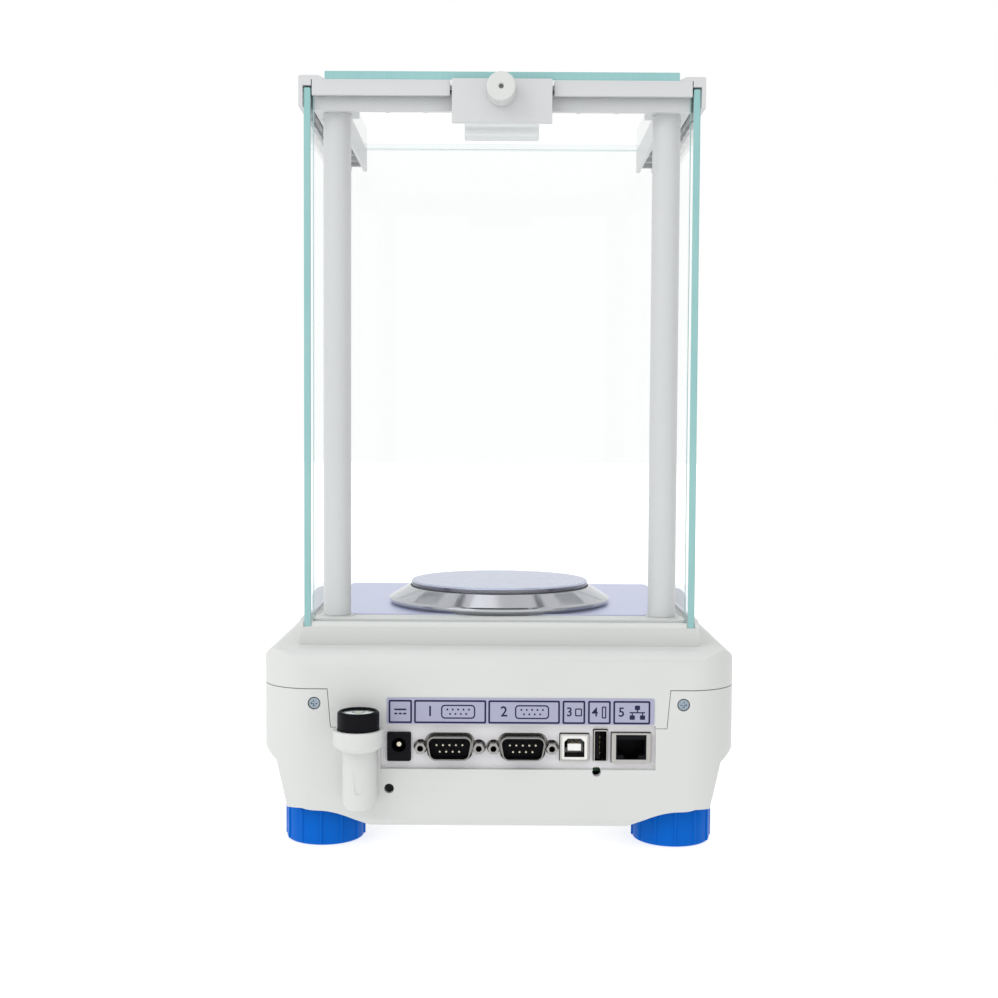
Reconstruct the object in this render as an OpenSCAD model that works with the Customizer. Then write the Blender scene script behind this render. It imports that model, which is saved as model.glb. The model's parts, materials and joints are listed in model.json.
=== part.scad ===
// Analytical balance with a glass draft chamber, drawn in mm, +Z up, rear face toward +Y.

/* [Case] */
// half of the widest width across the case
half_width = 103; // [98:110]
// front end of the case
front_y = -177.5; // [-185:-170]
// rear face of the case
rear_y = 155.5; // [150:160]
// underside of the case between the feet
case_bottom = 11; // [9:13]
// underside of the case above the feet
arch_top = 18.6; // [17:21]
// joint between the lower and upper case
joint_z = 70; // [65:72]
// top of the upper case behind the console
case_top = 86.5; // [84:90]
// case wall thickness
wall = 2.6; // [2:3.5]
// edge radius of the upper case
lid_radius = 7; // [4:9]
// plan radius of the rear corners
rear_radius = 22; // [15:28]
// plan radius of the front corners
front_radius = 34; // [20:45]
// angle of the console slope
slope = 16.07; // [10:20]

/* [Chamber] */
// rear plane of the chamber
chamber_rear = 137.5; // [134:140]
// inner face of the front glass
chamber_front = -10.3; // [-14:-8]
// half width of the chamber base
base_half = 88; // [86:92]
// top of the chamber base
base_top = 96.4; // [94:98]
// inner face of each side glass
side_glass_x = 82.8; // [81:84]
// floor of the grooves that the side glasses slide in
groove_z = 94.3; // [90:95]
// floor of the groove that the rear glass stands in
rear_groove_z = 95.4; // [93:96]
// glass thickness of the sliding doors
glass = 3.0; // [2.5:4]
// underside of the side rails
rail_bottom = 320.4; // [315:325]
// bearing level of the top glass
rail_top = 331.8; // [328:334]
// inner face of the side rails
rail_inner = 72.6; // [70:75]
// column diameter
column_d = 12.3; // [10:14]
// column centre from the middle plane
column_x = 73; // [70:75]
// column centre along the depth
column_y = 121.5; // [118:125]

/* [Weighing] */
// pan centre along the depth
pan_y = 70; // [64:76]
// pan diameter
pan_d = 85.6; // [80:92]
// top face of the pan
pan_top = 108.8; // [105:112]
// outer diameter of the draft ring
ring_d = 106.8; // [100:112]

/* [Console] */
// centre of the two small keys from the middle plane
small_key_x = 18; // [16:22]
// width of the small keys
small_key_w = 24; // [20:26]
// centre of the two tare keys from the middle plane
tare_key_x = 58; // [54:62]
// width of the tare keys
tare_key_w = 38; // [30:40]
// width of the display window
window_w = 116; // [100:130]
// depth of the display window along the slope
window_d = 50; // [40:56]

/* [Feet] */
// foot centre from the middle plane
foot_x = 77; // [74:79]
// rear foot centre along the depth
foot_rear_y = 131; // [126:135]
// front foot centre along the depth
foot_front_y = -138; // [-145:-130]
// knob diameter
knob_d = 35.4; // [32:37]
// stud diameter
stud_d = 8; // [6:10]

/* [Ports] */
// height of the port centres
port_z = 45.1; // [42:47]
// power jack centre
power_x = 42.8; // [40:45]
// first serial port centre
serial_a_x = 21.0; // [19:23]
// second serial port centre
serial_b_x = -10.3; // [-12:-8]
// device port centre
device_x = -32.5; // [-34:-31]
// host port centre
host_x = -43.7; // [-45:-42]
// network port centre
network_x = -56.8; // [-58:-55]

/* [Hidden] */
$fn = 64;

foot_r = knob_d / 2;
glass_out = side_glass_x + glass;
slot_in = side_glass_x - 0.4;
slot_out = glass_out + 0.4;
face_y = rear_y - wall;
level_x = 58.9;
level_y = 166.8;
hinge_y = -40;
hinge_z = 88;
tilt = tan(slope);
nose_r = 8;
nose_y = front_y + nose_r;
nose_z = hinge_z + (nose_y - hinge_y) * tilt - nose_r / cos(slope);
console_back = -15;
console_back_z = hinge_z + (console_back - hinge_y) * tilt;
pane_y0 = chamber_rear - 4.6;
pane_y1 = chamber_rear - 2.1;
floor_end = 118.5;
beam_half = 82.2;
bracket_y = chamber_rear + 0.6;
knob_x = 0.4;
knob_z = 325.9;
coil_y = -44;
window_y = -20;
key_y = -86;
key_d = 14.2;
key_gap = 0.4;
strip_l = 47.9;
strip_r = -66.5;
host_z = port_z + 0.9;
board_top = port_z - 9.8;
screw_x = 79;
screw_z = 64;

// profile tools
module round_rect(w, h, r) {
    union() {
        square([w - 2 * r, h], center = true);
        square([w, h - 2 * r], center = true);
        for (i = [-1, 1])
            for (j = [-1, 1])
                translate([i * (w / 2 - r), j * (h / 2 - r)])
                    circle(r = r);
    }
}

module along_x(x0, x1) {
    translate([x0, 0, 0])
        rotate([90, 0, 90])
            linear_extrude(height = x1 - x0)
                children();
}

module along_y(y0, y1) {
    translate([0, y1, 0])
        rotate([90, 0, 0])
            linear_extrude(height = y1 - y0)
                children();
}

module along_z(z0, z1) {
    translate([0, 0, z0])
        linear_extrude(height = z1 - z0)
            children();
}

module block(x0, x1, y0, y1, z0, z1) {
    translate([x0, y0, z0])
        cube([x1 - x0, y1 - y0, z1 - z0]);
}

module tube(r_out, r_in, z0, z1) {
    along_z(z0, z1)
        difference() {
            circle(r = r_out);
            circle(r = r_in);
        }
}

module console() {
    translate([0, hinge_y, hinge_z])
        rotate([slope, 0, 0])
            children();
}

// case outline seen from above, inset by t
module plan(t) {
    x = half_width - t;
    y0 = front_y + t;
    y1 = rear_y - t;
    rf = front_radius - t;
    rr = rear_radius - t;
    union() {
        translate([-x, y0 + rf])
            square([2 * x, y1 - y0 - rf - rr]);
        translate([-x + rf, y0])
            square([2 * (x - rf), rf + 1]);
        translate([-x + rr, y1 - rr - 1])
            square([2 * (x - rr), rr + 1]);
        for (s = [-1, 1]) {
            translate([s * (x - rf), y0 + rf])
                circle(r = rf);
            translate([s * (x - rr), y1 - rr])
                circle(r = rr);
        }
    }
}

// case outline seen from behind, inset by t, open above
module tub_section(t) {
    polygon([[-89.4 + t, case_bottom + t], [89.4 - t, case_bottom + t],
        [90.8 - t, 18], [96 - t, 38], [half_width - t, 43], [half_width - t, 90],
        [t - half_width, 90], [t - half_width, 43], [-96 + t, 38], [-90.8 + t, 18]]);
}

// case outline seen from the side up to the joint, raised by up at the joint
module tub_side(t, up) {
    polygon([[-160 + t, case_bottom + t], [rear_y - 2 - t, case_bottom + t],
        [rear_y - t, case_bottom + 3 + t], [rear_y - t, joint_z + up],
        [-30, joint_z + up], [-95, 43 + up], [front_y + t, 43 + up],
        [front_y + t, 43], [front_y + 7 + t, 38]]);
}

module below_joint() {
    along_x(-120, 120)
        polygon([[-200, -5], [-200, 43], [-95, 43], [-30, joint_z],
            [200, joint_z], [200, -5]]);
}

// one foot arch, cut upward to z, grown by t
module arch(s, y, dir, z, t) {
    intersection() {
        along_y(y - 60, y + 60)
            translate([s * (55.5 - t + 40), z - 30])
                round_rect(80, 60, 5);
        along_x(-120, 120)
            translate([y + dir * 18, z - 30])
                round_rect(84 + 2 * t, 60, 5);
    }
}

module arches(z, t) {
    for (s = [-1, 1]) {
        arch(s, foot_rear_y, 1, z, t);
        arch(s, foot_front_y, -1, z, t);
    }
}

// lower edge of the rear wall over a foot
function arch_edge(x) = x < 78 ? case_bottom + 6.6 * sin(4 * (x - 55.5))
    : 17.6 + 0.024 * (x - 78) * (x - 78);

module arch_lip() {
    intersection() {
        along_z(0, 30)
            difference() {
                plan(0);
                plan(wall);
            }
        along_y(front_y, rear_y + 5)
            tub_section(0);
        along_y(140, rear_y + 5)
            polygon(concat([[54, arch_top + 1.2], [54, case_bottom]],
                [for (x = [55.5 : 2.25 : 87]) [x, arch_edge(x)]], [[87, arch_top + 1.2]]));
    }
}

module feet_spots() {
    for (s = [-1, 1])
        for (y = [foot_front_y, foot_rear_y])
            translate([s * foot_x, y, 0])
                children();
}

module tongue(g) {
    polygon([[-72.1 + g, 53.6 + g], [72.1 - g, 53.6 + g],
        [73.6 - g, 71], [-73.6 + g, 71]]);
}

module port_window() {
    translate([-67.2, 35.8])
        square([117.8, 19.1]);
}

module pillar() {
    translate([level_x, 0, 0])
        difference() {
            union() {
                intersection() {
                    along_z(20, 50)
                        union() {
                            translate([0, 161])
                                circle(r = 7.5);
                            translate([-7.5, rear_y - 1])
                                square([15, 161 - rear_y + 1]);
                        }
                    along_y(150, 175)
                        translate([0, 46])
                            round_rect(15, 50, 4.5);
                }
                translate([0, level_y, 0])
                    rotate_extrude()
                        polygon([[0, 46.4], [7.4, 46.4], [9.9, 48], [10.7, 49.8], [10.7, 55.4],
                            [9.1, 55.4], [9.1, 52.6], [0, 52.6]]);
                block(-7.5, 7.5, rear_y - 1, level_y - 4, 48, 52.6);
            }
            along_y(168.15, 176)
                polygon([[-3, 43], [3, 43], [1.2, 28], [-1.2, 28]]);
        }
}

module lower_housing() {
    color([0.9, 0.91, 0.9])
        difference() {
            union() {
                difference() {
                    intersection() {
                        along_z(0, 100)
                            plan(0);
                        along_y(front_y - 5, rear_y + 5)
                            tub_section(0);
                        along_x(-120, 120)
                            tub_side(0, 0);
                    }
                    difference() {
                        intersection() {
                            along_z(0, 100)
                                plan(wall);
                            along_y(front_y - 5, rear_y + 5)
                                tub_section(wall);
                            along_x(-120, 120)
                                tub_side(wall, 3);
                        }
                        arches(arch_top + wall, wall);
                    }
                }
                pillar();
                for (s = [-1, 1])
                    translate([s * screw_x, 0, 0])
                        along_y(face_y - 3, face_y + 0.5)
                            translate([0, screw_z])
                                circle(r = 4.6);
            }
            difference() {
                arches(arch_top, 0);
                arch_lip();
                mirror([1, 0, 0])
                    arch_lip();
            }
            along_y(face_y - 1, rear_y + 1)
                tongue(0);
            along_y(face_y - 1, rear_y + 1)
                port_window();
            feet_spots()
                translate([0, 0, 15])
                    cylinder(r = 5, h = 10);
            for (s = [-1, 1])
                translate([s * screw_x, 0, 0]) {
                    along_y(face_y - 5, rear_y + 1)
                        translate([0, screw_z])
                            circle(r = 1.7);
                    along_y(rear_y - 1.9, rear_y + 1)
                        translate([0, screw_z])
                            circle(r = 2.75);
                }
            translate([46.9, 0, 0])
                along_y(face_y - 1, rear_y + 1)
                    translate([0, 27.3])
                        circle(r = 2.1);
            translate([-42, 0, 0])
                along_y(face_y - 1, rear_y + 1)
                    translate([0, 34.8])
                        circle(r = 1.9);
            for (i = [-4:4])
                along_z(case_bottom - 1, case_bottom + wall + 1)
                    translate([i * 9, 20])
                        round_rect(3.4, 40, 1.6);
        }
}

// upper case, inset by t
module lid_form(t) {
    union() {
        intersection() {
            along_z(40, 100)
                plan(t);
            along_y(console_back - 2, rear_y + 1)
                translate([0, case_top - t - 40])
                    round_rect(2 * (half_width - t), 80, lid_radius);
            along_x(-120, 120)
                translate([(console_back - 60 + rear_y - t) / 2, case_top - t - 40])
                    round_rect(rear_y - t - console_back + 60, 80, lid_radius);
        }
        intersection() {
            along_z(30, 100)
                plan(t);
            console()
                along_y(-160, 60)
                    translate([0, -45 - t])
                        round_rect(2 * (half_width - t), 90, 6);
            along_x(-120, 120)
                union() {
                    polygon([[console_back - t, 30], [console_back - t,
                        console_back_z - t / cos(slope)],
                        [nose_y - nose_r * sin(slope) + t * sin(slope),
                        nose_z + (nose_r - t) * cos(slope)],
                        [nose_y, nose_z], [nose_y, 30]]);
                    translate([nose_y, nose_z])
                        circle(r = nose_r - t);
                    translate([front_y + t, 30])
                        square([nose_r, nose_z - 30]);
                }
        }
    }
}

module key_spot(x) {
    translate([x, key_y, 0])
        children();
}

module key_holes(z0, z1) {
    g = 2 * key_gap;
    for (s = [-1, 1]) {
        key_spot(s * small_key_x)
            along_z(z0, z1)
                round_rect(small_key_w + g, key_d + g, 4 + key_gap);
        key_spot(s * tare_key_x)
            along_z(z0, z1)
                round_rect(tare_key_w + g, key_d + g, 4 + key_gap);
    }
}

module upper_housing() {
    color([0.92, 0.93, 0.92])
        difference() {
            union() {
                difference() {
                    lid_form(0);
                    lid_form(wall);
                    below_joint();
                    along_z(joint_z - 1, joint_z + 0.4)
                        difference() {
                            plan(-3);
                            plan(1.2);
                            translate([-120, -230])
                                square([240, 200]);
                        }
                }
                intersection() {
                    along_y(face_y, rear_y)
                        tongue(0.25);
                    along_z(50, 75)
                        plan(0);
                }
                console()
                    block(-90, 90, -125, 16, -3.9, -2.4);
            }
            along_y(face_y - 1, rear_y + 1)
                port_window();
            console()
                block(-88.2, 88.2, -122.2, 14.2, -1.1, 5);
            console()
                block(-56, 56, -43, 3, -8, 2);
            console()
                key_holes(-8, 2);
            translate([0, pan_y, case_top - 6])
                cylinder(r = 15, h = 10);
            for (s = [-1, 1])
                translate([s * column_x, column_y, case_top - 6])
                    cylinder(r = 2.5, h = 10);
        }
}

module base_chassis() {
    color([0.72, 0.73, 0.74])
        difference() {
            union() {
                along_z(arch_top + wall, 26)
                    translate([0, -3])
                        round_rect(170, 292, 14);
                feet_spots()
                    translate([0, 0, 24])
                        cylinder(r = 9, h = 12);
                for (x = [-62, 52])
                    for (y = [100, 142])
                        translate([x, y, 24])
                            cylinder(r = 3, h = board_top - 1.6 - 24);
                for (x = [-40, 40])
                    block(x - 2, x + 2, -140, -60, 25, 30);
            }
            feet_spots()
                translate([0, 0, 15])
                    cylinder(r = stud_d / 2 + 0.05, h = 30);
            for (x = [-62, 62])
                along_z(15, 30)
                    translate([x, 0])
                        round_rect(26, 150, 8);
            along_z(15, 30)
                translate([0, 118])
                    round_rect(70, 30, 8);
            along_z(15, 30)
                translate([0, -112])
                    round_rect(60, 32, 8);
        }
}

// points of an arc about x, y from angle a to angle b
function arc(x, y, r, a, b) = [for (i = [0:6]) [x + r * cos(a + (b - a) * i / 6),
    y + r * sin(a + (b - a) * i / 6)]];

// centre of a corner at the given height in a shell whose sides lean 10 degrees
function dee_side(w, r, height) = w / 2 - (r - height * sin(10)) / cos(10);

// outline of a nine-way connector shell, w wide at half height
module dee(w, h, r) {
    up = h / 2 - r;
    top_x = dee_side(w, r, up);
    low_x = dee_side(w, r, -up);
    polygon(concat(arc(top_x, up, r, -10, 90), arc(-top_x, up, r, 90, 190),
        arc(-low_x, -up, r, 190, 270), arc(low_x, -up, r, 270, 350)));
}

module at_port(x, z) {
    translate([x, 0, z])
        children();
}

module connector_plate() {
    color([0.86, 0.84, 0.85])
        difference() {
            union() {
                block(-71, 55, face_y - 1.2, face_y, 30, 60);
                block(-71, 55, face_y - 6, face_y, 30, 31.2);
            }
            at_port(power_x, port_z)
                along_y(face_y - 3, face_y + 1)
                    round_rect(10.3, 12.5, 0.6);
            for (x = [serial_a_x, serial_b_x])
                at_port(x, port_z) {
                    along_y(face_y - 3, face_y + 1)
                        dee(20.4, 12, 3.6);
                    for (s = [-1, 1])
                        translate([s * 12.5, 0, 0])
                            along_y(face_y - 3, face_y + 1)
                                circle(r = 3.1);
                }
            at_port(device_x, port_z)
                along_y(face_y - 3, face_y + 1)
                    round_rect(12.9, 12.4, 0.6);
            at_port(host_x, host_z)
                along_y(face_y - 3, face_y + 1)
                    round_rect(6.5, 14.2, 0.5);
            at_port(network_x, port_z)
                along_y(face_y - 3, face_y + 1)
                    round_rect(17.4, 13.5, 0.5);
            at_port(-42, 34.8)
                along_y(face_y - 3, face_y + 1)
                    circle(r = 1.9);
        }
}

module port_label_strip() {
    color([0.7, 0.71, 0.84])
        along_y(rear_y, rear_y + 0.3)
            translate([(strip_l + strip_r) / 2, 61])
                round_rect(strip_l - strip_r, 11.4, 0.8);
}

module housing_screws() {
    color([0.66, 0.7, 0.74])
        for (s = [-1, 1])
            translate([s * screw_x, 0, screw_z])
                difference() {
                    union() {
                        along_y(rear_y - 1.9, rear_y - 0.4)
                            circle(r = 2.3);
                        along_y(face_y - 6, rear_y - 1.9)
                            circle(r = 1.5);
                    }
                    along_y(rear_y - 1.2, rear_y)
                        union() {
                            square([2.8, 0.8], center = true);
                            square([0.8, 2.8], center = true);
                        }
                }
}

module power_jack() {
    color([0.06, 0.06, 0.07])
        at_port(power_x, port_z)
            union() {
                difference() {
                    along_y(face_y - 11, rear_y - 0.6)
                        round_rect(9.9, 12.1, 0.5);
                    along_y(rear_y - 10, rear_y)
                        translate([0, 0.9])
                            circle(r = 3.1);
                }
                along_y(rear_y - 11, rear_y - 2.4)
                    translate([0, 0.9])
                        circle(r = 1);
                block(-4.9, 4.9, face_y - 11, face_y - 3, -9.8, -6);
            }
}

module serial_shell(x) {
    color([0.72, 0.72, 0.7])
        at_port(x, port_z) {
            along_y(face_y - 6, rear_y + 2.6)
                difference() {
                    dee(18.4, 10.2, 2.9);
                    dee(17.2, 9, 2.4);
                }
            along_y(face_y - 4.2, face_y - 3.4)
                difference() {
                    round_rect(30.8, 12.6, 1.5);
                    dee(17.2, 9, 2.4);
                    for (s = [-1, 1])
                        translate([s * 12.5, 0])
                            circle(r = 1.6);
                }
            for (s = [-1, 1])
                block(s * 14 - 1, s * 14 + 1, face_y - 12, face_y - 3.4, -9.8, -5.6);
        }
}

module serial_insert(x) {
    color([0.05, 0.05, 0.06])
        at_port(x, port_z)
            difference() {
                union() {
                    along_y(face_y - 6, face_y - 0.4)
                        dee(17.1, 8.9, 2.35);
                    block(-8.6, 8.6, face_y - 12, face_y - 6, -9.8, 4);
                }
                for (i = [-2:2])
                    translate([i * 2.77, 0, 1.42])
                        along_y(face_y - 4, face_y)
                            circle(r = 0.5);
                for (i = [-1.5:1.5])
                    translate([i * 2.77, 0, -1.42])
                        along_y(face_y - 4, face_y)
                            circle(r = 0.5);
            }
}

module serial_pins() {
    color([0.85, 0.76, 0.45])
        for (x = [serial_a_x, serial_b_x])
            at_port(x, port_z) {
                for (i = [-2:2])
                    translate([i * 2.77, 0, 1.42])
                        along_y(face_y - 4, rear_y + 1.9)
                            circle(r = 0.5);
                for (i = [-1.5:1.5])
                    translate([i * 2.77, 0, -1.42])
                        along_y(face_y - 4, rear_y + 1.9)
                            circle(r = 0.5);
            }
}

module jack_screws() {
    color([0.7, 0.7, 0.68])
        for (x = [serial_a_x, serial_b_x])
            for (s = [-1, 1])
                at_port(x + s * 12.5, port_z)
                    difference() {
                        union() {
                            along_y(face_y - 3.4, rear_y + 2.2)
                                circle(r = 2.6, $fn = 6);
                            along_y(face_y - 6, face_y - 3.4)
                                circle(r = 1.55);
                        }
                        along_y(rear_y - 2, rear_y + 3)
                            circle(r = 1.25);
                    }
}

module device_port() {
    color([0.75, 0.75, 0.74])
        at_port(device_x, port_z) {
            along_y(face_y - 10, rear_y - 0.8)
                difference() {
                    round_rect(12.3, 11.8, 0.5);
                    round_rect(11.3, 10.8, 0.4);
                }
            along_y(face_y - 10, face_y - 9.4)
                round_rect(12.3, 11.8, 0.5);
            block(-6, 6, face_y - 10, face_y - 4, -9.8, -5.8);
        }
}

module device_tongue() {
    color([0.93, 0.93, 0.92])
        at_port(device_x, port_z)
            union() {
                difference() {
                    along_y(face_y - 9.4, rear_y - 1.4)
                        round_rect(11.3, 10.8, 0.4);
                    along_y(face_y - 7.8, rear_y)
                        polygon([[-4.3, -4.1], [4.3, -4.1], [4.3, 2.4], [2.8, 3.9],
                            [-2.8, 3.9], [-4.3, 2.4]]);
                }
                block(-2.9, 2.9, face_y - 8, rear_y - 2.2, -1.5, 1.5);
            }
}

module host_port() {
    color([0.75, 0.75, 0.74])
        at_port(host_x, host_z) {
            along_y(face_y - 12, rear_y - 0.8)
                difference() {
                    round_rect(5.9, 13.6, 0.5);
                    round_rect(5.1, 12.8, 0.4);
                }
            along_y(face_y - 12, face_y - 11.4)
                round_rect(5.9, 13.6, 0.5);
            block(-2.5, 2.5, face_y - 12, face_y - 4, -10.7, -6.6);
        }
}

module host_tongue() {
    color([0.08, 0.08, 0.09])
        at_port(host_x, host_z)
            union() {
                block(-2.55, 2.55, face_y - 11.4, face_y - 9.6, -6.3, 6.3);
                block(0.3, 2.2, face_y - 9.8, rear_y - 2, -5.8, 5.8);
            }
}

module network_hole() {
    polygon([[-5.9, 3.6], [5.9, 3.6], [5.9, -3.2], [3.2, -3.2], [3.2, -4.7], [2, -4.7],
        [2, -5.6], [-2, -5.6], [-2, -4.7], [-3.2, -4.7], [-3.2, -3.2], [-5.9, -3.2]]);
}

module network_jack() {
    color([0.76, 0.76, 0.75])
        at_port(network_x, port_z) {
            along_y(face_y - 13, rear_y - 0.7)
                difference() {
                    round_rect(16.8, 12.9, 0.4);
                    round_rect(15.8, 11.9, 0.3);
                }
            along_y(rear_y - 1.3, rear_y - 0.7)
                difference() {
                    round_rect(16.8, 12.9, 0.4);
                    translate([0, 0.4])
                        square([13, 10.7], center = true);
                }
            along_y(face_y - 13, face_y - 12.4)
                round_rect(16.8, 12.9, 0.4);
            block(-8, 8, face_y - 12, face_y - 4, -9.8, -6.4);
        }
}

module network_insert() {
    color([0.05, 0.05, 0.06])
        at_port(network_x, port_z)
            difference() {
                along_y(face_y - 12.4, rear_y - 1.3)
                    round_rect(15.8, 11.9, 0.3);
                along_y(face_y - 10, rear_y)
                    network_hole();
            }
}

module main_board() {
    color([0.1, 0.36, 0.2])
        difference() {
            union() {
                along_z(board_top - 1.6, board_top)
                    translate([-4, 118])
                        round_rect(124, 62, 2);
                block(-50, -36, 98, 112, board_top, 37.7);
                block(-24, -6, 96, 114, board_top, 37.5);
                block(20, 44, 100, 112, board_top, 42.7);
                for (x = [0, 9])
                    translate([x, 104, board_top])
                        cylinder(r = 3.2, h = 9);
            }
            translate([0, pan_y, 30])
                cylinder(r = 20, h = 10);
        }
}

module display_window() {
    color([0.12, 0.16, 0.18])
        console()
            along_z(-1.1, 0.5)
                translate([0, window_y])
                    round_rect(window_w, window_d, 4);
}

module display_module() {
    color([0.55, 0.62, 0.5])
        console()
            union() {
                block(-53, 53, -41, 1, -5.4, -1.2);
                block(-62, 62, -50, 10, -7, -5.4);
                block(-86, 86, -100, -50, -7, -5.4);
                for (x = [-80, 80])
                    translate([x, -74, -5.4])
                        cylinder(r = 3, h = 1.5);
            }
}

module front_panel() {
    color([0.34, 0.38, 0.44])
        console()
            difference() {
                along_z(-1.1, 0)
                    translate([0, -54])
                        round_rect(176, 136, 9);
                along_z(-3, 2)
                    translate([0, window_y])
                        round_rect(window_w, window_d, 4);
                key_holes(-3, 2);
            }
}

module key(x, w) {
    color([0.85, 0.87, 0.89])
        console()
            key_spot(x)
                union() {
                    along_z(-3.2, 1)
                        round_rect(w, key_d, 4);
                    along_z(-4.3, -3)
                        round_rect(w - 8, 6, 2);
                }
}

module weigh_frame() {
    color([0.74, 0.75, 0.77])
        difference() {
            union() {
                block(-30, 30, -78, 84, 26, 32);
                block(-26, 26, 6, 52, 32, 72);
                block(-26, 26, 52, 59, 32, 40);
            }
            block(-7, 7, 0, 60, 44, 66);
            translate([-40, 30, 60])
                rotate([0, 90, 0])
                    cylinder(r = 2, h = 80);
            block(-16, 16, 62, 80, 20, 40);
        }
}

module magnet_pot() {
    color([0.42, 0.43, 0.45])
        translate([0, coil_y, 0])
            rotate_extrude()
                polygon([[0, 32], [27, 32], [27, 51], [19.5, 51], [19.5, 38], [13, 38],
                    [13, 51], [0, 51]]);
}

module weigh_lever() {
    color([0.78, 0.62, 0.4])
        union() {
            block(-5, 5, coil_y, 58, 55, 61);
            translate([0, coil_y, 54])
                cylinder(r = 19, h = 4);
            translate([0, coil_y, 0])
                tube(18, 14.6, 42, 54.5);
        }
}

module pan_carrier() {
    color([0.8, 0.81, 0.82])
        union() {
            block(-24, 24, 62, 72, 42, 72);
            block(-10, 10, 59.6, 63, 48, 66);
            translate([0, pan_y, 60])
                cylinder(r = 6, h = 30);
            translate([0, pan_y, 89])
                cylinder(r1 = 6, r2 = 4, h = 12);
        }
}

module pan() {
    color([0.8, 0.81, 0.84])
        translate([0, pan_y, 0])
            difference() {
                union() {
                    rotate_extrude()
                        polygon([[0, pan_top - 1.3], [pan_d / 2 - 1.4, pan_top - 1.3],
                            [pan_d / 2 - 1.4, pan_top - 3.2], [pan_d / 2 - 0.3, pan_top - 3.2],
                            [pan_d / 2, pan_top - 2.6], [pan_d / 2, pan_top - 0.7],
                            [pan_d / 2 - 0.6, pan_top], [0, pan_top]]);
                    translate([0, 0, 92])
                        cylinder(r = 9, h = pan_top - 93);
                }
                translate([0, 0, 88.9])
                    cylinder(r1 = 6.35, r2 = 4.3, h = 12.3);
            }
}

module draft_ring() {
    color([0.82, 0.83, 0.85])
        translate([0, pan_y, 0])
            rotate_extrude()
                polygon([[ring_d / 2 - 2.4, 97.8], [ring_d / 2 - 1.4, 97.8],
                    [ring_d / 2, 99.2], [ring_d / 2, 100.3], [ring_d / 2 - 0.9, 101],
                    [pan_d / 2 + 1.1, 106.1], [pan_d / 2 + 0.4, 106.1],
                    [pan_d / 2 + 0.4, 105.2], [ring_d / 2 - 2.4, 100]]);
}

module chamber_base() {
    color([0.9, 0.91, 0.9])
        difference() {
            union() {
                along_x(-base_half, base_half)
                    polygon([[chamber_front, case_top], [chamber_rear, case_top],
                        [chamber_rear, base_top - 1.8], [chamber_rear - 1.4, base_top],
                        [chamber_rear - 5, base_top + 1], [floor_end, base_top + 1],
                        [floor_end, base_top], [chamber_front, base_top]]);
                for (s = [-1, 1])
                    translate([s * column_x, column_y, base_top - 2])
                        cylinder(r = 7.4, h = 3.4);
            }
            for (s = [-1, 1])
                translate([s * (slot_in + slot_out) / 2, 0, 0])
                    block((slot_in - slot_out) / 2, (slot_out - slot_in) / 2,
                        chamber_front - 1, chamber_rear + 1, groove_z, 110);
            block(-82.2, 82.2, pane_y0 - 0.2, pane_y1 + 0.2, rear_groove_z, 110);
            translate([0, pan_y, case_top - 1])
                cylinder(r = 15, h = 20);
            for (s = [-1, 1])
                translate([s * column_x, column_y, case_top - 1])
                    cylinder(r = 2.5, h = 20);
        }
}

module floor_plate() {
    color([0.78, 0.79, 0.87])
        along_z(base_top, base_top + 1.4)
            difference() {
                translate([0, (chamber_front + floor_end) / 2])
                    round_rect(160, floor_end - chamber_front - 0.6, 3);
                translate([0, pan_y])
                    circle(r = 12);
                for (s = [-1, 1])
                    translate([s * column_x, column_y])
                        circle(r = 8);
            }
}

module column(s) {
    color([0.88, 0.89, 0.89])
        translate([s * column_x, column_y, 0])
            union() {
                translate([0, 0, base_top + 1.4])
                    cylinder(r = column_d / 2, h = rail_bottom - base_top - 1.4);
                translate([0, 0, case_top - 2])
                    cylinder(r = 2.45, h = 14);
                translate([0, 0, rail_bottom - 2])
                    cylinder(r = 2.5, h = 6);
            }
}

module rear_beam() {
    color([0.88, 0.89, 0.88])
        difference() {
            union() {
                block(-beam_half, beam_half, pane_y0 - 3.1, pane_y0 - 0.2, 319.6, 329);
                block(-beam_half, beam_half, pane_y1 + 0.2, chamber_rear, 325.2, rail_top);
                block(-rail_inner, rail_inner, 116, chamber_rear, 328, rail_top);
                for (i = [-3:3])
                    block(i * 17 - 0.8, i * 17 + 0.8, 118, pane_y0 - 1, 322, 329);
            }
            block(-22.6, 22.6, pane_y1 + 0.1, 140, 318, 340);
            block(-22.6, 22.6, 110, 140, 330, 340);
        }
}

module rail_section() {
    difference() {
        polygon([[rail_inner, rail_bottom], [rail_inner, rail_top], [77.2, rail_top],
            [77.2, 332.5], [79.4, 333.6], [base_half - 0.6, 333.6], [base_half, 333],
            [base_half, rail_bottom]]);
        translate([slot_in, 300])
            square([slot_out - slot_in, 29.3]);
        translate([rail_inner + 1.8, 300])
            square([slot_in - rail_inner - 3.4, 29.3]);
    }
}

module rail(s) {
    color([0.89, 0.9, 0.9])
        mirror([s < 0 ? 1 : 0, 0, 0])
            difference() {
                union() {
                    along_y(chamber_front, chamber_rear)
                        rail_section();
                    for (i = [0:7])
                        block(rail_inner + 1, slot_in - 1, -6 + i * 15, -4.6 + i * 15, 322, 330);
                    block(column_x - 9, slot_in - 1, column_y - 8, column_y + 8,
                        rail_bottom, 327.8);
                }
                block(70, slot_in + 0.2, pane_y0 - 3.3, chamber_rear + 1, 318, rail_top);
                translate([column_x, column_y, rail_bottom - 1])
                    cylinder(r = 2.55, h = 6);
            }
}

module front_glass() {
    color([0.75, 0.9, 0.9, 0.4])
        block(-86, 86, chamber_front - 3.5, chamber_front, case_top, 332.8);
}

module rear_glass() {
    color([0.75, 0.9, 0.9, 0.4])
        block(-82, 82, pane_y0, pane_y1, rear_groove_z, 326.8);
}

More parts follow.
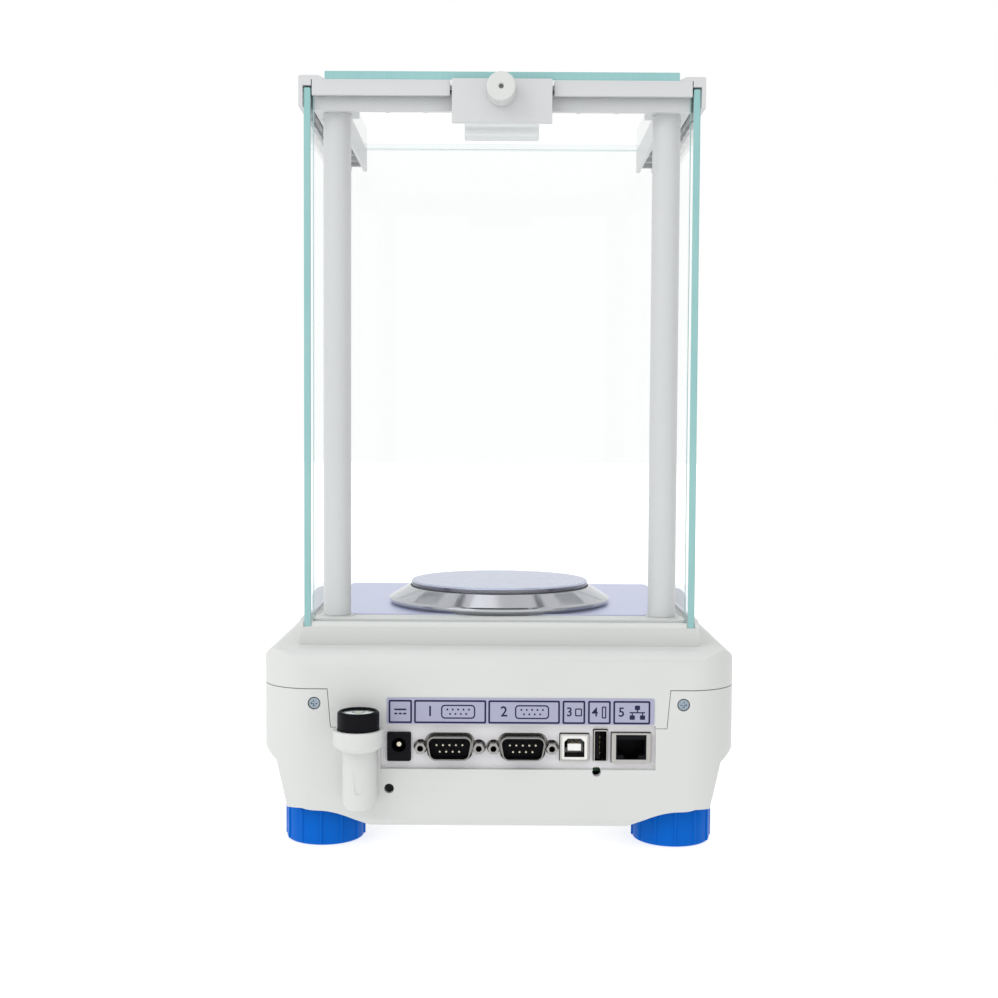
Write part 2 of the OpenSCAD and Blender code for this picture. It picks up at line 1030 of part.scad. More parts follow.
module door_glass(s) {
    color([0.75, 0.9, 0.9, 0.4])
        mirror([s < 0 ? 1 : 0, 0, 0])
            block(side_glass_x, glass_out, -9.6, chamber_rear - 0.5, groove_z + 0.1, 328.4);
}

module door_handle(s) {
    color([0.86, 0.87, 0.88])
        mirror([s < 0 ? 1 : 0, 0, 0])
            intersection() {
                along_x(glass_out, glass_out + 8)
                    translate([3, 214])
                        round_rect(13, 62, 4);
                along_z(170, 260)
                    polygon([[glass_out, -4], [glass_out + 4, -3.4], [glass_out + 6.5, 1],
                        [glass_out + 8, 8], [glass_out + 7, 9.5], [glass_out, 9.5]]);
            }
}

module top_glass() {
    color([0.75, 0.9, 0.9, 0.4])
        block(-76.6, 76.6, -9.6, chamber_rear + 0.6, rail_top, rail_top + 3.5);
}

module top_handle() {
    color([0.88, 0.89, 0.9])
        along_x(-19.6, 19.6)
            polygon([[-2, rail_top + 3.5], [9, rail_top + 3.5], [9, rail_top + 5.2],
                [6.8, rail_top + 6], [6.8, rail_top + 7.4], [9, rail_top + 8.6],
                [9, rail_top + 11.4], [8, rail_top + 12.2], [1, rail_top + 12.2],
                [-2, rail_top + 6]]);
}

module top_bracket() {
    color([0.87, 0.88, 0.9])
        union() {
            block(-21.6, 21.6, bracket_y, bracket_y + 2.6, 313, rail_top);
            block(-21.6, 21.6, 122, bracket_y + 1, rail_top - 1.6, rail_top);
        }
}

module top_knob() {
    color([0.93, 0.93, 0.93])
        translate([knob_x, 0, knob_z])
            difference() {
                along_y(bracket_y + 2.6, bracket_y + 13.8)
                    circle(r = 6.2);
                along_y(bracket_y + 10, bracket_y + 15)
                    circle(r = 1);
            }
}

module foot_knob(x, y) {
    color([0.05, 0.4, 0.85])
        translate([x, y, 0])
            difference() {
                union() {
                    rotate_extrude()
                        polygon([[0, 2.4], [13.5, 2.4], [13.5, 0.2], [foot_r - 0.9, 0.2],
                            [foot_r, 1.3], [foot_r, 15], [foot_r - 1.8, 16.4], [7, 16.4],
                            [7, 17.6], [0, 17.6]]);
                    translate([0, 0, 10])
                        cylinder(r = stud_d / 2, h = 28);
                }
                for (i = [0:11])
                    rotate([0, 0, i * 30])
                        translate([foot_r + 2.9, 0, -1])
                            cylinder(r = 3.8, h = 20);
            }
}

module foot_pad(x, y) {
    color([0.12, 0.12, 0.13])
        translate([x, y, 0])
            cylinder(r = 13, h = 2.35);
}

module level_case() {
    color([0.05, 0.05, 0.06])
        translate([level_x, level_y, 0])
            rotate_extrude()
                polygon([[0, 52.6], [8.8, 52.6], [8.8, 62.4], [8.1, 63.2], [7.3, 63.2],
                    [7.3, 56], [0, 56]]);
}

module level_vial() {
    color([0.8, 0.9, 0.85, 0.5])
        translate([level_x, level_y, 56])
            cylinder(r = 7.25, h = 6.6);
}

lower_housing();
upper_housing();
base_chassis();
connector_plate();
port_label_strip();
housing_screws();
power_jack();
serial_shell(serial_a_x);  // serial_shell_a
serial_shell(serial_b_x);  // serial_shell_b
serial_insert(serial_a_x);  // serial_insert_a
serial_insert(serial_b_x);  // serial_insert_b
serial_pins();
jack_screws();
device_port();
device_tongue();
host_port();
host_tongue();
network_jack();
network_insert();
main_board();
display_window();
display_module();
front_panel();
key(-small_key_x, small_key_w);  // key_power
key(small_key_x, small_key_w);  // key_menu
key(-tare_key_x, tare_key_w);  // key_tare_left
key(tare_key_x, tare_key_w);  // key_tare_right
weigh_frame();
magnet_pot();
weigh_lever();
pan_carrier();
pan();
draft_ring();
chamber_base();
floor_plate();
column(-1);  // column_left
column(1);  // column_right
rear_beam();
rail(-1);  // rail_left
rail(1);  // rail_right
front_glass();
rear_glass();
door_glass(-1);  // door_glass_left
door_glass(1);  // door_glass_right
door_handle(-1);  // door_handle_left
door_handle(1);  // door_handle_right
top_glass();
top_handle();
top_bracket();
top_knob();
foot_knob(-foot_x, foot_rear_y);  // foot_knob_rear_left
foot_knob(foot_x, foot_rear_y);  // foot_knob_rear_right
foot_knob(-foot_x, foot_front_y);  // foot_knob_front_left
foot_knob(foot_x, foot_front_y);  // foot_knob_front_right
foot_pad(-foot_x, foot_rear_y);  // foot_pad_rear_left
foot_pad(foot_x, foot_rear_y);  // foot_pad_rear_right
foot_pad(-foot_x, foot_front_y);  // foot_pad_front_left
foot_pad(foot_x, foot_front_y);  // foot_pad_front_right
level_case();
level_vial();
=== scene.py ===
import bmesh
import bpy
import json
import math
from mathutils import Matrix, Vector

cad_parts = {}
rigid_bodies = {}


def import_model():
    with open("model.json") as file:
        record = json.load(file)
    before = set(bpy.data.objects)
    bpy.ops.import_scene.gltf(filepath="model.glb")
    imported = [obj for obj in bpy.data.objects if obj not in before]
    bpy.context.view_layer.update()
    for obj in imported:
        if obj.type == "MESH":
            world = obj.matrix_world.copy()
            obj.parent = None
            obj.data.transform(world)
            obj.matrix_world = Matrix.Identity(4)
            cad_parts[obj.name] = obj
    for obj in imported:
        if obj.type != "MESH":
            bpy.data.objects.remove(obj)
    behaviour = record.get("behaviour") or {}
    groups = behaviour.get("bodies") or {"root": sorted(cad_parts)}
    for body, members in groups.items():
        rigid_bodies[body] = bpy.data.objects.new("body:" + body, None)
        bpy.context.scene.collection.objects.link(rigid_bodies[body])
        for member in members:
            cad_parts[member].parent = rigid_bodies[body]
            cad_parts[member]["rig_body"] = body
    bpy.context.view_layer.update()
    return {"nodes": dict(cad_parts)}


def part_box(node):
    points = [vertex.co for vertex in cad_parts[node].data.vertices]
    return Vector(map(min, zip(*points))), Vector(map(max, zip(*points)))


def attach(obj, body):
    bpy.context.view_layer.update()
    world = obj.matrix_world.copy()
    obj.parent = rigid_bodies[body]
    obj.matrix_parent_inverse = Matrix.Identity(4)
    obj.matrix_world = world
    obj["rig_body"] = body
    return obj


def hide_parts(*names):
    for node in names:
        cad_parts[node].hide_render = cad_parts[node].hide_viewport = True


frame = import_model()
nodes = frame["nodes"]
mm = 0.001
print("balance frame loaded,", len(nodes), "nodes")


# a shader socket that takes part in plain sums
class Wire:
    def __init__(self, tree, socket):
        self.tree = tree
        self.socket = socket

    def maths(self, operation, first, second):
        node = self.tree.nodes.new("ShaderNodeMath")
        node.operation = operation
        for slot, value in zip(node.inputs, (first, second)):
            if isinstance(value, Wire):
                self.tree.links.new(value.socket, slot)
            else:
                slot.default_value = value
        return Wire(self.tree, node.outputs[0])

    def __add__(self, other):
        return self.maths("ADD", self, other)

    def __radd__(self, other):
        return self.maths("ADD", other, self)

    def __sub__(self, other):
        return self.maths("SUBTRACT", self, other)

    def __rsub__(self, other):
        return self.maths("SUBTRACT", other, self)

    def __mul__(self, other):
        return self.maths("MULTIPLY", self, other)

    def __rmul__(self, other):
        return self.maths("MULTIPLY", other, self)


# one material while it is being wired up
class Finish:
    def __init__(self, name):
        self.material = bpy.data.materials.new(name)
        self.material.use_nodes = True
        self.tree = self.material.node_tree
        self.tree.nodes.clear()

    def add(self, kind, settings=None, values=None, out=0):
        node = self.tree.nodes.new(kind)
        for name, value in (settings or {}).items():
            setattr(node, name, value)
        for name, value in (values or {}).items():
            if isinstance(value, Wire):
                self.tree.links.new(value.socket, node.inputs[name])
            else:
                node.inputs[name].default_value = value
        return Wire(self.tree, node.outputs[out]) if node.outputs else None

    def place(self, scale=(1, 1, 1), turn=(0, 0, 0), move=(0, 0, 0)):
        spot = self.add("ShaderNodeTexCoord", out="Object")
        return self.add("ShaderNodeMapping", {}, {"Vector": spot, "Location": move,
                                                  "Rotation": turn, "Scale": scale})

    def noise(self, spot, scale, detail=2.0, rough=0.5):
        return self.add("ShaderNodeTexNoise", {}, {"Vector": spot, "Scale": scale,
                                                   "Detail": detail, "Roughness": rough})

    def tint(self, mask, first, second):
        return self.add("ShaderNodeMix", {"data_type": "RGBA"},
                        {0: mask, 6: (*first, 1), 7: (*second, 1)}, 2)

    def bump(self, height, depth, strength=1.0):
        return self.add("ShaderNodeBump", {}, {"Height": height, "Distance": depth,
                                               "Strength": strength})

    def surface(self, values):
        shader = self.add("ShaderNodeBsdfPrincipled", {}, values)
        self.close(shader)
        return self.material

    def close(self, shader):
        self.add("ShaderNodeOutputMaterial", {}, {"Surface": shader})


def shade(colour, amount):
    return tuple(min(1.0, part * amount) for part in colour)


# moulded or painted skins: colour, roughness, shine, grain per metre, grain depth in mm, mottle
skins = {
    "case": ((0.600, 0.612, 0.600), 0.46, 0.4, 2600, 0.05, 0.03),
    "frame_plastic": ((0.565, 0.570, 0.578), 0.40, 0.4, 2600, 0.03, 0.03),
    "casting": ((0.42, 0.43, 0.44), 0.55, 0.4, 700, 0.12, 0.12),
    "sheet": ((0.72, 0.71, 0.735), 0.42, 0.4, 1200, 0.02, 0.05),
    "label": ((0.35, 0.353, 0.48), 0.38, 0.3, 3000, 0.01, 0.03),
    "black_plastic": ((0.005, 0.005, 0.007), 0.42, 0.07, 1800, 0.03, 0.2),
    "white_insert": ((0.80, 0.80, 0.78), 0.4, 0.4, 1800, 0.02, 0.04),
    "panel": ((0.085, 0.11, 0.15), 0.36, 0.4, 3600, 0.012, 0.05),
    "key": ((0.60, 0.63, 0.66), 0.38, 0.4, 2600, 0.02, 0.03),
    "magnet": ((0.14, 0.145, 0.155), 0.5, 0.4, 900, 0.06, 0.15),
    "blue_plastic": ((0.0, 0.115, 0.53), 0.32, 0.07, 1500, 0.02, 0.05),
    "rubber": ((0.02, 0.02, 0.022), 0.75, 0.3, 1400, 0.08, 0.2),
    "ink": ((0.012, 0.012, 0.055), 0.45, 0.2, 3000, 0.01, 0.1),
    "digits": ((0.02, 0.03, 0.03), 0.5, 0.2, 2000, 0.01, 0.1),
    "darkBand": ((0.03, 0.035, 0.045), 0.3, 0.4, 2000, 0.01, 0.1),
    "cell": ((0.42, 0.50, 0.40), 0.45, 0.3, 500, 0.02, 0.05),
}


def skin(name):
    colour, rough, shine, grain, depth, mottle = skins[name]
    f = Finish(name)
    spot = f.place()
    broad = f.noise(spot, 28.0)
    fine = f.noise(spot, grain, 3.0, 0.6)
    return f.surface({
        "Base Color": f.tint(broad * 0.75 + fine * 0.25, shade(colour, 1 - mottle),
                             shade(colour, 1 + mottle)),
        "Roughness": rough - 0.07 + broad * 0.08 + fine * 0.06,
        "Specular IOR Level": shine,
        "Normal": f.bump(fine, depth * mm, 0.6),
    })


# metals: colour, roughness, brushing stretch along each axis, grain per metre, scratch depth in mm
# a depth of 0 is a plain mirror
metals = {
    "zinc": {"colour": (0.30, 0.36, 0.42), "rough": 0.32, "brush": (1, 1, 1), "grain": 700,
             "depth": 0.02},
    "nickel": {"colour": (0.47, 0.46, 0.44), "rough": 0.24, "brush": (1, 0.15, 1), "grain": 2200,
               "depth": 0.012},
    # shell and lock are nickel painted darker, as a painted dark reflection
    "shell": {"colour": (0.25, 0.245, 0.235), "rough": 0.2, "brush": (1, 0.15, 1), "grain": 2200,
              "depth": 0.012},
    "lock": {"colour": (0.33, 0.32, 0.31), "rough": 0.24, "brush": (1, 0.15, 1), "grain": 2200,
             "depth": 0.012},
    "gold": {"colour": (0.83, 0.62, 0.26), "rough": 0.22, "brush": (1, 0.1, 1), "grain": 2500,
             "depth": 0.008},
    "sheetMetal": {"colour": (0.44, 0.43, 0.41), "rough": 0.36, "brush": (0.1, 1, 1), "grain": 1500,
                   "depth": 0.015},
    "pinMetal": {"colour": (0.62, 0.58, 0.47), "rough": 0.3, "brush": (1, 0.1, 1), "grain": 2500,
                 "depth": 0.008},
    "polished": {"colour": (0.43, 0.435, 0.465), "rough": 0.09, "brush": (1, 1, 4), "grain": 300,
                 "depth": 0},
    # painted shade and painted reflection for the rolled edge under the pan, darker than its steel
    "paintedRimShade": {"colour": (0.15, 0.15, 0.18), "rough": 0.16, "brush": (1, 1, 4), "grain": 300,
                "depth": 0},
}


def metal(name):
    m = metals[name]
    f = Finish(name)
    spot = f.place(m["brush"])
    hair = f.noise(spot, m["grain"], 4.0, 0.65)
    broad = f.noise(f.place(), 60.0)
    values = {
        "Base Color": f.tint(hair * 0.4 + broad * 0.6, shade(m["colour"], 0.9),
                             shade(m["colour"], 1.08)),
        "Metallic": 1.0,
        "Roughness": m["rough"] - 0.05 + hair * 0.06 + broad * 0.05,
    }
    if m["depth"]:
        values["Normal"] = f.bump(hair, m["depth"] * mm, 0.5)
    return f.surface(values)


# the pan is spun steel, so its hairlines run round its own centre
# the grey is the steel's own colour; its blue tint is a painted reflection of a bluish room
panSteel = {"colour": (0.465, 0.505, 0.65), "rough": 0.27, "rings": 2300, "depth": 0.006}


def spunSteel(name, centre):
    f = Finish(name)
    spot = f.place(move=(-centre[0], -centre[1], 0))
    radius = f.add("ShaderNodeVectorMath", {"operation": "LENGTH"},
                   {0: f.add("ShaderNodeVectorMath", {"operation": "MULTIPLY"},
                             {0: spot, 1: (1, 1, 0)})}, "Value")
    hair = f.add("ShaderNodeTexNoise", {"noise_dimensions": "1D"},
                 {"W": radius, "Scale": panSteel["rings"], "Detail": 2.0})
    broad = f.noise(f.place(), 45.0)
    return f.surface({
        "Base Color": f.tint(hair * 0.5 + broad * 0.5, shade(panSteel["colour"], 0.92),
                             shade(panSteel["colour"], 1.06)),
        "Metallic": 1.0,
        "Roughness": panSteel["rough"] - 0.06 + hair * 0.08 + broad * 0.04,
        "Normal": f.bump(hair, panSteel["depth"] * mm, 0.5),
    })


# satin chamber floor
floorSheet = {"colour": (0.51, 0.54, 0.735), "rough": 0.34, "brush": 1800, "depth": 0.008}


def satinFloor(name):
    f = Finish(name)
    hair = f.noise(f.place((0.03, 1, 1)), floorSheet["brush"], 4.0, 0.6)
    broad = f.noise(f.place(), 20.0)
    return f.surface({
        "Base Color": f.tint(hair * 0.5 + broad * 0.5, shade(floorSheet["colour"], 0.94),
                             shade(floorSheet["colour"], 1.05)),
        "Metallic": 0.85,
        "Roughness": floorSheet["rough"] - 0.05 + hair * 0.08 + broad * 0.04,
        "Normal": f.bump(hair, floorSheet["depth"] * mm, 0.5),
    })


# float glass: nearly invisible faces and a green-blue cut edge
paneGlass = {"clear": (0.997, 1.0, 0.999), "mirror": 0.8, "smeared": (0.93, 0.95, 0.95),
             "clean": (0.96, 0.98, 0.98), "edge": (0.34, 0.54, 0.54),
             "edgeDeep": (0.20, 0.43, 0.425), "inside": 0.8}


def glassFace(name):
    f = Finish(name)
    smear = f.noise(f.place(), 14.0)
    fresnel = f.add("ShaderNodeFresnel", {}, {"IOR": 1.5})
    clear = f.add("ShaderNodeBsdfTransparent", {}, {"Color": (*paneGlass["clear"], 1)})
    mirror = f.add("ShaderNodeBsdfPrincipled", {}, {
        "Base Color": f.tint(smear, paneGlass["smeared"], paneGlass["clean"]),
        "Roughness": 0.02 + smear * 0.03,
        "Metallic": 1.0})
    inside = f.add("ShaderNodeNewGeometry", out="Backfacing")
    f.close(f.add("ShaderNodeMixShader", {}, {0: fresnel * (1 - inside) * paneGlass["mirror"],
                                              1: clear, 2: mirror}))
    return f.material


def glassEdge(name):
    f = Finish(name)
    streak = f.noise(f.place((1, 1, 0.12)), 900.0, 3.0)
    broad = f.noise(f.place(), 22.0)
    cut = f.add("ShaderNodeBsdfPrincipled", {}, {
        "Base Color": f.tint(streak * 0.35 + broad * 0.5, paneGlass["edgeDeep"], paneGlass["edge"]),
        "Roughness": 0.12 + streak * 0.12,
        "Normal": f.bump(streak, 0.02 * mm, 0.5)})
    fromInside = f.add("ShaderNodeNewGeometry", out="Backfacing")
    through = f.add("ShaderNodeBsdfTransparent", {}, {"Color": (*paneGlass["clear"], 1)})
    f.close(f.add("ShaderNodeMixShader", {}, {0: fromInside * paneGlass["inside"],
                                              1: cut, 2: through}))
    return f.material


# level: pale lens over a green-yellow liquid
levelLook = {"lens": (0.66, 0.72, 0.70), "liquid": (0.50, 0.62, 0.40)}


def lensGlass(name, colour, rough):
    f = Finish(name)
    cloud = f.noise(f.place(), 160.0)
    return f.surface({
        "Base Color": f.tint(cloud, shade(colour, 0.93), shade(colour, 1.05)),
        "Roughness": rough + cloud * 0.04,
        "Coat Weight": 0.6,
        "Normal": f.bump(cloud, 0.02 * mm, 0.4),
    })


# smoked window over the display
windowGlass = {"clear": (0.86, 0.88, 0.88), "smeared": (0.16, 0.17, 0.18), "clean": (0.2, 0.21, 0.22),
               "mirror": 0.8, "haze": 0.06}


def windowPane(name):
    f = Finish(name)
    smear = f.noise(f.place(), 30.0)
    fresnel = f.add("ShaderNodeFresnel", {}, {"IOR": 1.48})
    clear = f.add("ShaderNodeBsdfTransparent", {}, {"Color": (*windowGlass["clear"], 1)})
    mirror = f.add("ShaderNodeBsdfPrincipled", {}, {
        "Base Color": f.tint(smear, windowGlass["smeared"], windowGlass["clean"]),
        "Roughness": 0.05 + smear * 0.05})
    inside = f.add("ShaderNodeNewGeometry", out="Backfacing")
    facing = fresnel * windowGlass["mirror"] + windowGlass["haze"]
    f.close(f.add("ShaderNodeMixShader", {}, {0: facing * (1 - inside), 1: clear, 2: mirror}))
    return f.material


# green board with paler tracks
boardLook = {"green": (0.012, 0.08, 0.035), "darkGreen": (0.012, 0.065, 0.03),
             "track": (0.03, 0.14, 0.06), "trackWidth": 0.06, "scale": 180.0}


def circuitBoard(name):
    f = Finish(name)
    spot = f.place()
    tracks = f.add("ShaderNodeTexBrick", {"offset": 0.37}, {
        "Vector": spot, "Scale": boardLook["scale"], "Color1": (*boardLook["green"], 1),
        "Color2": (*boardLook["darkGreen"], 1), "Mortar": (*boardLook["track"], 1),
        "Mortar Size": boardLook["trackWidth"]})
    fleck = f.noise(spot, 420.0)
    return f.surface({
        "Base Color": tracks,
        "Roughness": 0.35 + fleck * 0.15,
        "Normal": f.bump(fleck, 0.03 * mm, 0.5),
    })


look = {name: skin(name) for name in skins}
look.update({name: metal(name) for name in metals})
panLow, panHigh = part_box("pan")
panCentre = (panLow + panHigh) / 2
look["stainless"] = spunSteel("stainless", panCentre)
look["floor"] = satinFloor("floor")
look["glass"] = glassFace("glass")
look["glassEdge"] = glassEdge("glassEdge")
look["lens"] = lensGlass("lens", levelLook["lens"], 0.05)
look["liquid"] = lensGlass("liquid", levelLook["liquid"], 0.1)
look["window"] = windowPane("window")
look["board"] = circuitBoard("board")
print("finishes made,", len(look))


def smoothed(mesh, angle=32):
    for face in mesh.polygons:
        face.use_smooth = True
    mesh.set_sharp_from_angle(angle=math.radians(angle))


# puts a finished mesh on its body, with its finishes, and hides the nodes it stands for
def mount(name, mesh, finishes, body, standsFor=()):
    for finish in finishes:
        mesh.materials.append(look[finish])
    piece = bpy.data.objects.new(name, mesh)
    bpy.context.scene.collection.objects.link(piece)
    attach(piece, body)
    if standsFor:
        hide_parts(*standsFor)
    return piece


def meshFrom(shape, name):
    bmesh.ops.recalc_face_normals(shape, faces=shape.faces)
    mesh = bpy.data.meshes.new(name)
    shape.to_mesh(mesh)
    shape.free()
    return mesh


# corners closer than join (mm) and faces flatter than flat (degrees) become one, and edges sharper
# than sharp (degrees) are rounded in steps
softening = {"join": 0.003, "flat": 0.4, "sharp": 38, "steps": 2}


# a copy of a node with its triangles joined and its edges broken by a small radius
def softened(node, width, finish):
    source = nodes[node]
    shape = bmesh.new()
    shape.from_mesh(source.data)
    bmesh.ops.remove_doubles(shape, verts=shape.verts, dist=softening["join"] * mm)
    bmesh.ops.dissolve_limit(shape, angle_limit=math.radians(softening["flat"]),
                             verts=shape.verts, edges=shape.edges)
    mesh = bpy.data.meshes.new(node + "_skin")
    shape.to_mesh(mesh)
    shape.free()
    stale = mesh.attributes.get("custom_normal")
    if stale:
        mesh.attributes.remove(stale)
    mesh.materials.clear()
    smoothed(mesh, softening["sharp"])
    piece = mount(node + "_skin", mesh, [finish], source["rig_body"], [node])
    edge = piece.modifiers.new("edges", "BEVEL")
    edge.width = width * mm
    edge.segments = softening["steps"]
    edge.limit_method = "ANGLE"
    edge.angle_limit = math.radians(softening["sharp"])
    edge.harden_normals = True
    edge.use_clamp_overlap = True
    edge.loop_slide = False
    return piece


# middles of the sockets, in mm
ports = {"height": 45.1, "hostHeight": 46.0, "networkX": -56.8, "deviceX": -32.5, "hostX": -43.7,
         "powerX": 42.8, "serialX": (21.0, -10.3), "lockX": 12.5}

# what the room sees: the edge radius in mm and the finish of each moulded or machined piece
softPieces = {
    "lower_housing": (0.5, "case"),
    "upper_housing": (0.35, "case"),
    "connector_plate": (0.12, "sheet"),
    "port_label_strip": (0.06, "label"),
    "housing_screws": (0.15, "zinc"),
    "power_jack": (0.2, "black_plastic"),
    "serial_shell_a": (0.12, "shell"),
    "serial_shell_b": (0.12, "shell"),
    "serial_insert_a": (0.1, "black_plastic"),
    "serial_insert_b": (0.1, "black_plastic"),
    "jack_screws": (0.2, "lock"),
    "device_port": (0.1, "nickel"),
    "device_tongue": (0.12, "white_insert"),
    "host_port": (0.1, "nickel"),
    "host_tongue": (0.12, "black_plastic"),
    "network_jack": (0.1, "sheetMetal"),
    "network_insert": (0.12, "black_plastic"),
    "front_panel": (0.12, "panel"),
    "key_power": (0.45, "key"),
    "key_menu": (0.45, "key"),
    "key_tare_left": (0.45, "key"),
    "key_tare_right": (0.45, "key"),
    "pan": (0.15, "stainless"),
    "chamber_base": (0.35, "case"),
    "floor_plate": (0.2, "floor"),
    "column_left": (0.3, "frame_plastic"),
    "column_right": (0.3, "frame_plastic"),
    "rear_beam": (0.25, "frame_plastic"),
    "rail_left": (0.25, "frame_plastic"),
    "rail_right": (0.25, "frame_plastic"),
    "door_handle_left": (0.5, "frame_plastic"),
    "door_handle_right": (0.5, "frame_plastic"),
    "top_handle": (0.3, "frame_plastic"),
    "top_bracket": (0.25, "frame_plastic"),
    "top_knob": (0.7, "case"),
    "foot_pad_rear_left": (0.4, "rubber"),
    "foot_pad_rear_right": (0.4, "rubber"),
    "foot_pad_front_left": (0.4, "rubber"),
    "foot_pad_front_right": (0.4, "rubber"),
    "level_case": (0.3, "black_plastic"),
}
softSkin = {node: softened(node, width, finish) for node, (width, finish) in softPieces.items()}


# a second finish on the faces whose centre, in mm, passes a test
def repaint(piece, finish, test):
    piece.data.materials.append(look[finish])
    for face in piece.data.polygons:
        if test(face.center / mm):
            face.material_index = len(piece.data.materials) - 1


# where the second finishes start and stop, in mm
patches = {"rimRadius": 41.8, "rimTop": 108.3, "tongueHalf": (2.95, 1.55), "socketMouth": 153.9,
           "pinSpan": (150, 154), "pinRadius": 1.2, "threadMouth": 157.5, "threadRadius": 1.35}


# the rolled edge under the pan, painted dark as painted shade and a painted dark reflection
def onPanRim(c):
    away = math.hypot(c.x - panCentre.x / mm, c.y - panCentre.y / mm)
    return away > patches["rimRadius"] and c.z < patches["rimTop"]


# the moulding round the square data socket is painted black inside as painted shade, and only its tongue
# is white
def inShadedSocket(c):
    halfWide, halfTall = patches["tongueHalf"]
    offTongue = abs(c.x - ports["deviceX"]) > halfWide or abs(c.z - ports["height"]) > halfTall
    return c.y < patches["socketMouth"] and offTongue


# the centre pin of the power inlet
def onInletPin(c):
    back, tip = patches["pinSpan"]
    away = math.hypot(c.x - ports["powerX"], c.z - ports["hostHeight"])
    return back < c.y < tip and away < patches["pinRadius"]


# the threads of the locks are painted black as painted shade in their bores
def inShadedLockThread(c):
    away = [math.hypot(c.x - x - side * ports["lockX"], c.z - ports["height"])
            for x in ports["serialX"] for side in (-1, 1)]
    return c.y < patches["threadMouth"] and min(away) < patches["threadRadius"]


# the pan rim gets painted shade and a painted dark reflection
repaint(softSkin["pan"], "paintedRimShade", onPanRim)
# the inside of the data socket gets painted shade
repaint(softSkin["device_tongue"], "black_plastic", inShadedSocket)
repaint(softSkin["power_jack"], "pinMetal", onInletPin)
# the lock threads get painted shade
repaint(softSkin["jack_screws"], "black_plastic", inShadedLockThread)

# pieces inside the case keep their plain shape
insidePieces = {"base_chassis": "casting", "main_board": "board", "display_module": "cell",
                "weigh_frame": "casting", "magnet_pot": "magnet", "weigh_lever": "zinc",
                "pan_carrier": "casting"}
for node, finish in insidePieces.items():
    nodes[node].data.materials.clear()
    nodes[node].data.materials.append(look[finish])
print("moulded and machined pieces softened")


def outlineBox(cx, cy, w, h, r, steps=5):
    points = []
    for i in range(4 * (steps + 1)):
        corner = i // (steps + 1)
        a = math.radians(90 * (i - corner) / steps)
        sx = 1 if corner in (0, 3) else -1
        sy = 1 if corner in (0, 1) else -1
        points.append((cx + sx * (w / 2 - r) + r * math.cos(a),
                       cy + sy * (h / 2 - r) + r * math.sin(a)))
    return points


def outlineDisc(cx, cy, r, steps=32):
    return [(cx + r * math.cos(math.tau * i / steps), cy + r * math.sin(math.tau * i / steps))
            for i in range(steps)]


# closed slab between two levels, in the millimetres of its own face
def addPlate(shape, outline, low, high, place):
    bottom = [shape.verts.new(place @ Vector((x, y, low))) for x, y in outline]
    top = [shape.verts.new(place @ Vector((x, y, high))) for x, y in outline]
    shape.faces.new(list(reversed(bottom)))
    shape.faces.new(top)
    for i in range(len(outline)):
        j = (i + 1) % len(outline)
        shape.faces.new((bottom[i], bottom[j], top[j], top[i]))


# closed slab with an opening; both outlines have the same number of points
def addFrame(shape, outer, inner, low, high, place):
    rings = []
    for outline, level in ((outer, low), (outer, high), (inner, high), (inner, low)):
        rings.append([shape.verts.new(place @ Vector((x, y, level))) for x, y in outline])
    for k in range(4):
        a, b = rings[k], rings[(k + 1) % 4]
        for i in range(len(outer)):
            j = (i + 1) % len(outer)
            shape.faces.new((a[i], a[j], b[j], b[i]))


# turned shape about the local Z axis; the profile runs from axis to axis or ends where it starts
def addLathe(shape, profile, steps, place):
    rings = []
    for r, z in profile:
        if r == 0:
            rings.append([shape.verts.new(place @ Vector((0, 0, z)))])
        else:
            rings.append([shape.verts.new(place @ Vector((r * math.cos(math.tau * i / steps),
                                                          r * math.sin(math.tau * i / steps), z)))
                          for i in range(steps)])
    for a, b in zip(rings, rings[1:]):
        for i in range(steps):
            j = (i + 1) % steps
            corners = [a[i % len(a)], a[j % len(a)], b[j % len(b)], b[i % len(b)]]
            distinct = list(dict.fromkeys(corners))
            if len(distinct) > 2:
                shape.faces.new(distinct)


# from millimetres to the scene: as it stands, on the rear face with left to right along -X, and on
# the sloping console with left to right along +X
plain = Matrix.Scale(mm, 4)
rearFace = Matrix.Scale(mm, 4) @ Matrix(((-1, 0, 0, 0), (0, 0, 1, 0), (0, 1, 0, 0), (0, 0, 0, 1)))
console = {"hinge": (0, -40, 88), "slope": 16.07}
consoleFace = (Matrix.Scale(mm, 4) @ Matrix.Translation(console["hinge"])
               @ Matrix.Rotation(math.radians(console["slope"]), 4, "X"))

# draft ring, turned and polished: its section in mm, going round from the foot
draftRing = {"section": [(51.0, 97.8), (52.0, 97.8), (53.4, 99.2), (53.4, 100.3), (52.5, 101.0),
                         (43.9, 106.1), (43.2, 106.1), (43.2, 105.2), (51.0, 100.0)],
             "corner": 0.18, "steps": 192}


# breaks each corner of a closed outline, with a point on either side that keeps the flats flat
def brokenCorners(corners, radius):
    points = []
    for i, corner in enumerate(corners):
        here = Vector(corner)
        back = Vector(corners[i - 1]) - here
        ahead = Vector(corners[(i + 1) % len(corners)]) - here
        back *= min(radius / back.length, 0.24)
        ahead *= min(radius / ahead.length, 0.24)
        points += [here + back * 2, here + back, here + (back + ahead) / 4, here + ahead,
                   here + ahead * 2]
    return points


def turnedRing():
    shape = bmesh.new()
    outline = brokenCorners(draftRing["section"], draftRing["corner"])
    middle = Matrix.Translation((panCentre.x, panCentre.y, 0)) @ plain
    addLathe(shape, outline + outline[:1], draftRing["steps"], middle)
    bmesh.ops.remove_doubles(shape, verts=shape.verts, dist=0.001 * mm)
    mesh = meshFrom(shape, "draft_ring_turned")
    smoothed(mesh, 50)
    mount("draft_ring_turned", mesh, ["polished"], "draft_ring", ["draft_ring"])


turnedRing()

# glass panes: cut edge chamfer in mm
paneCut = {"chamfer": 0.35}


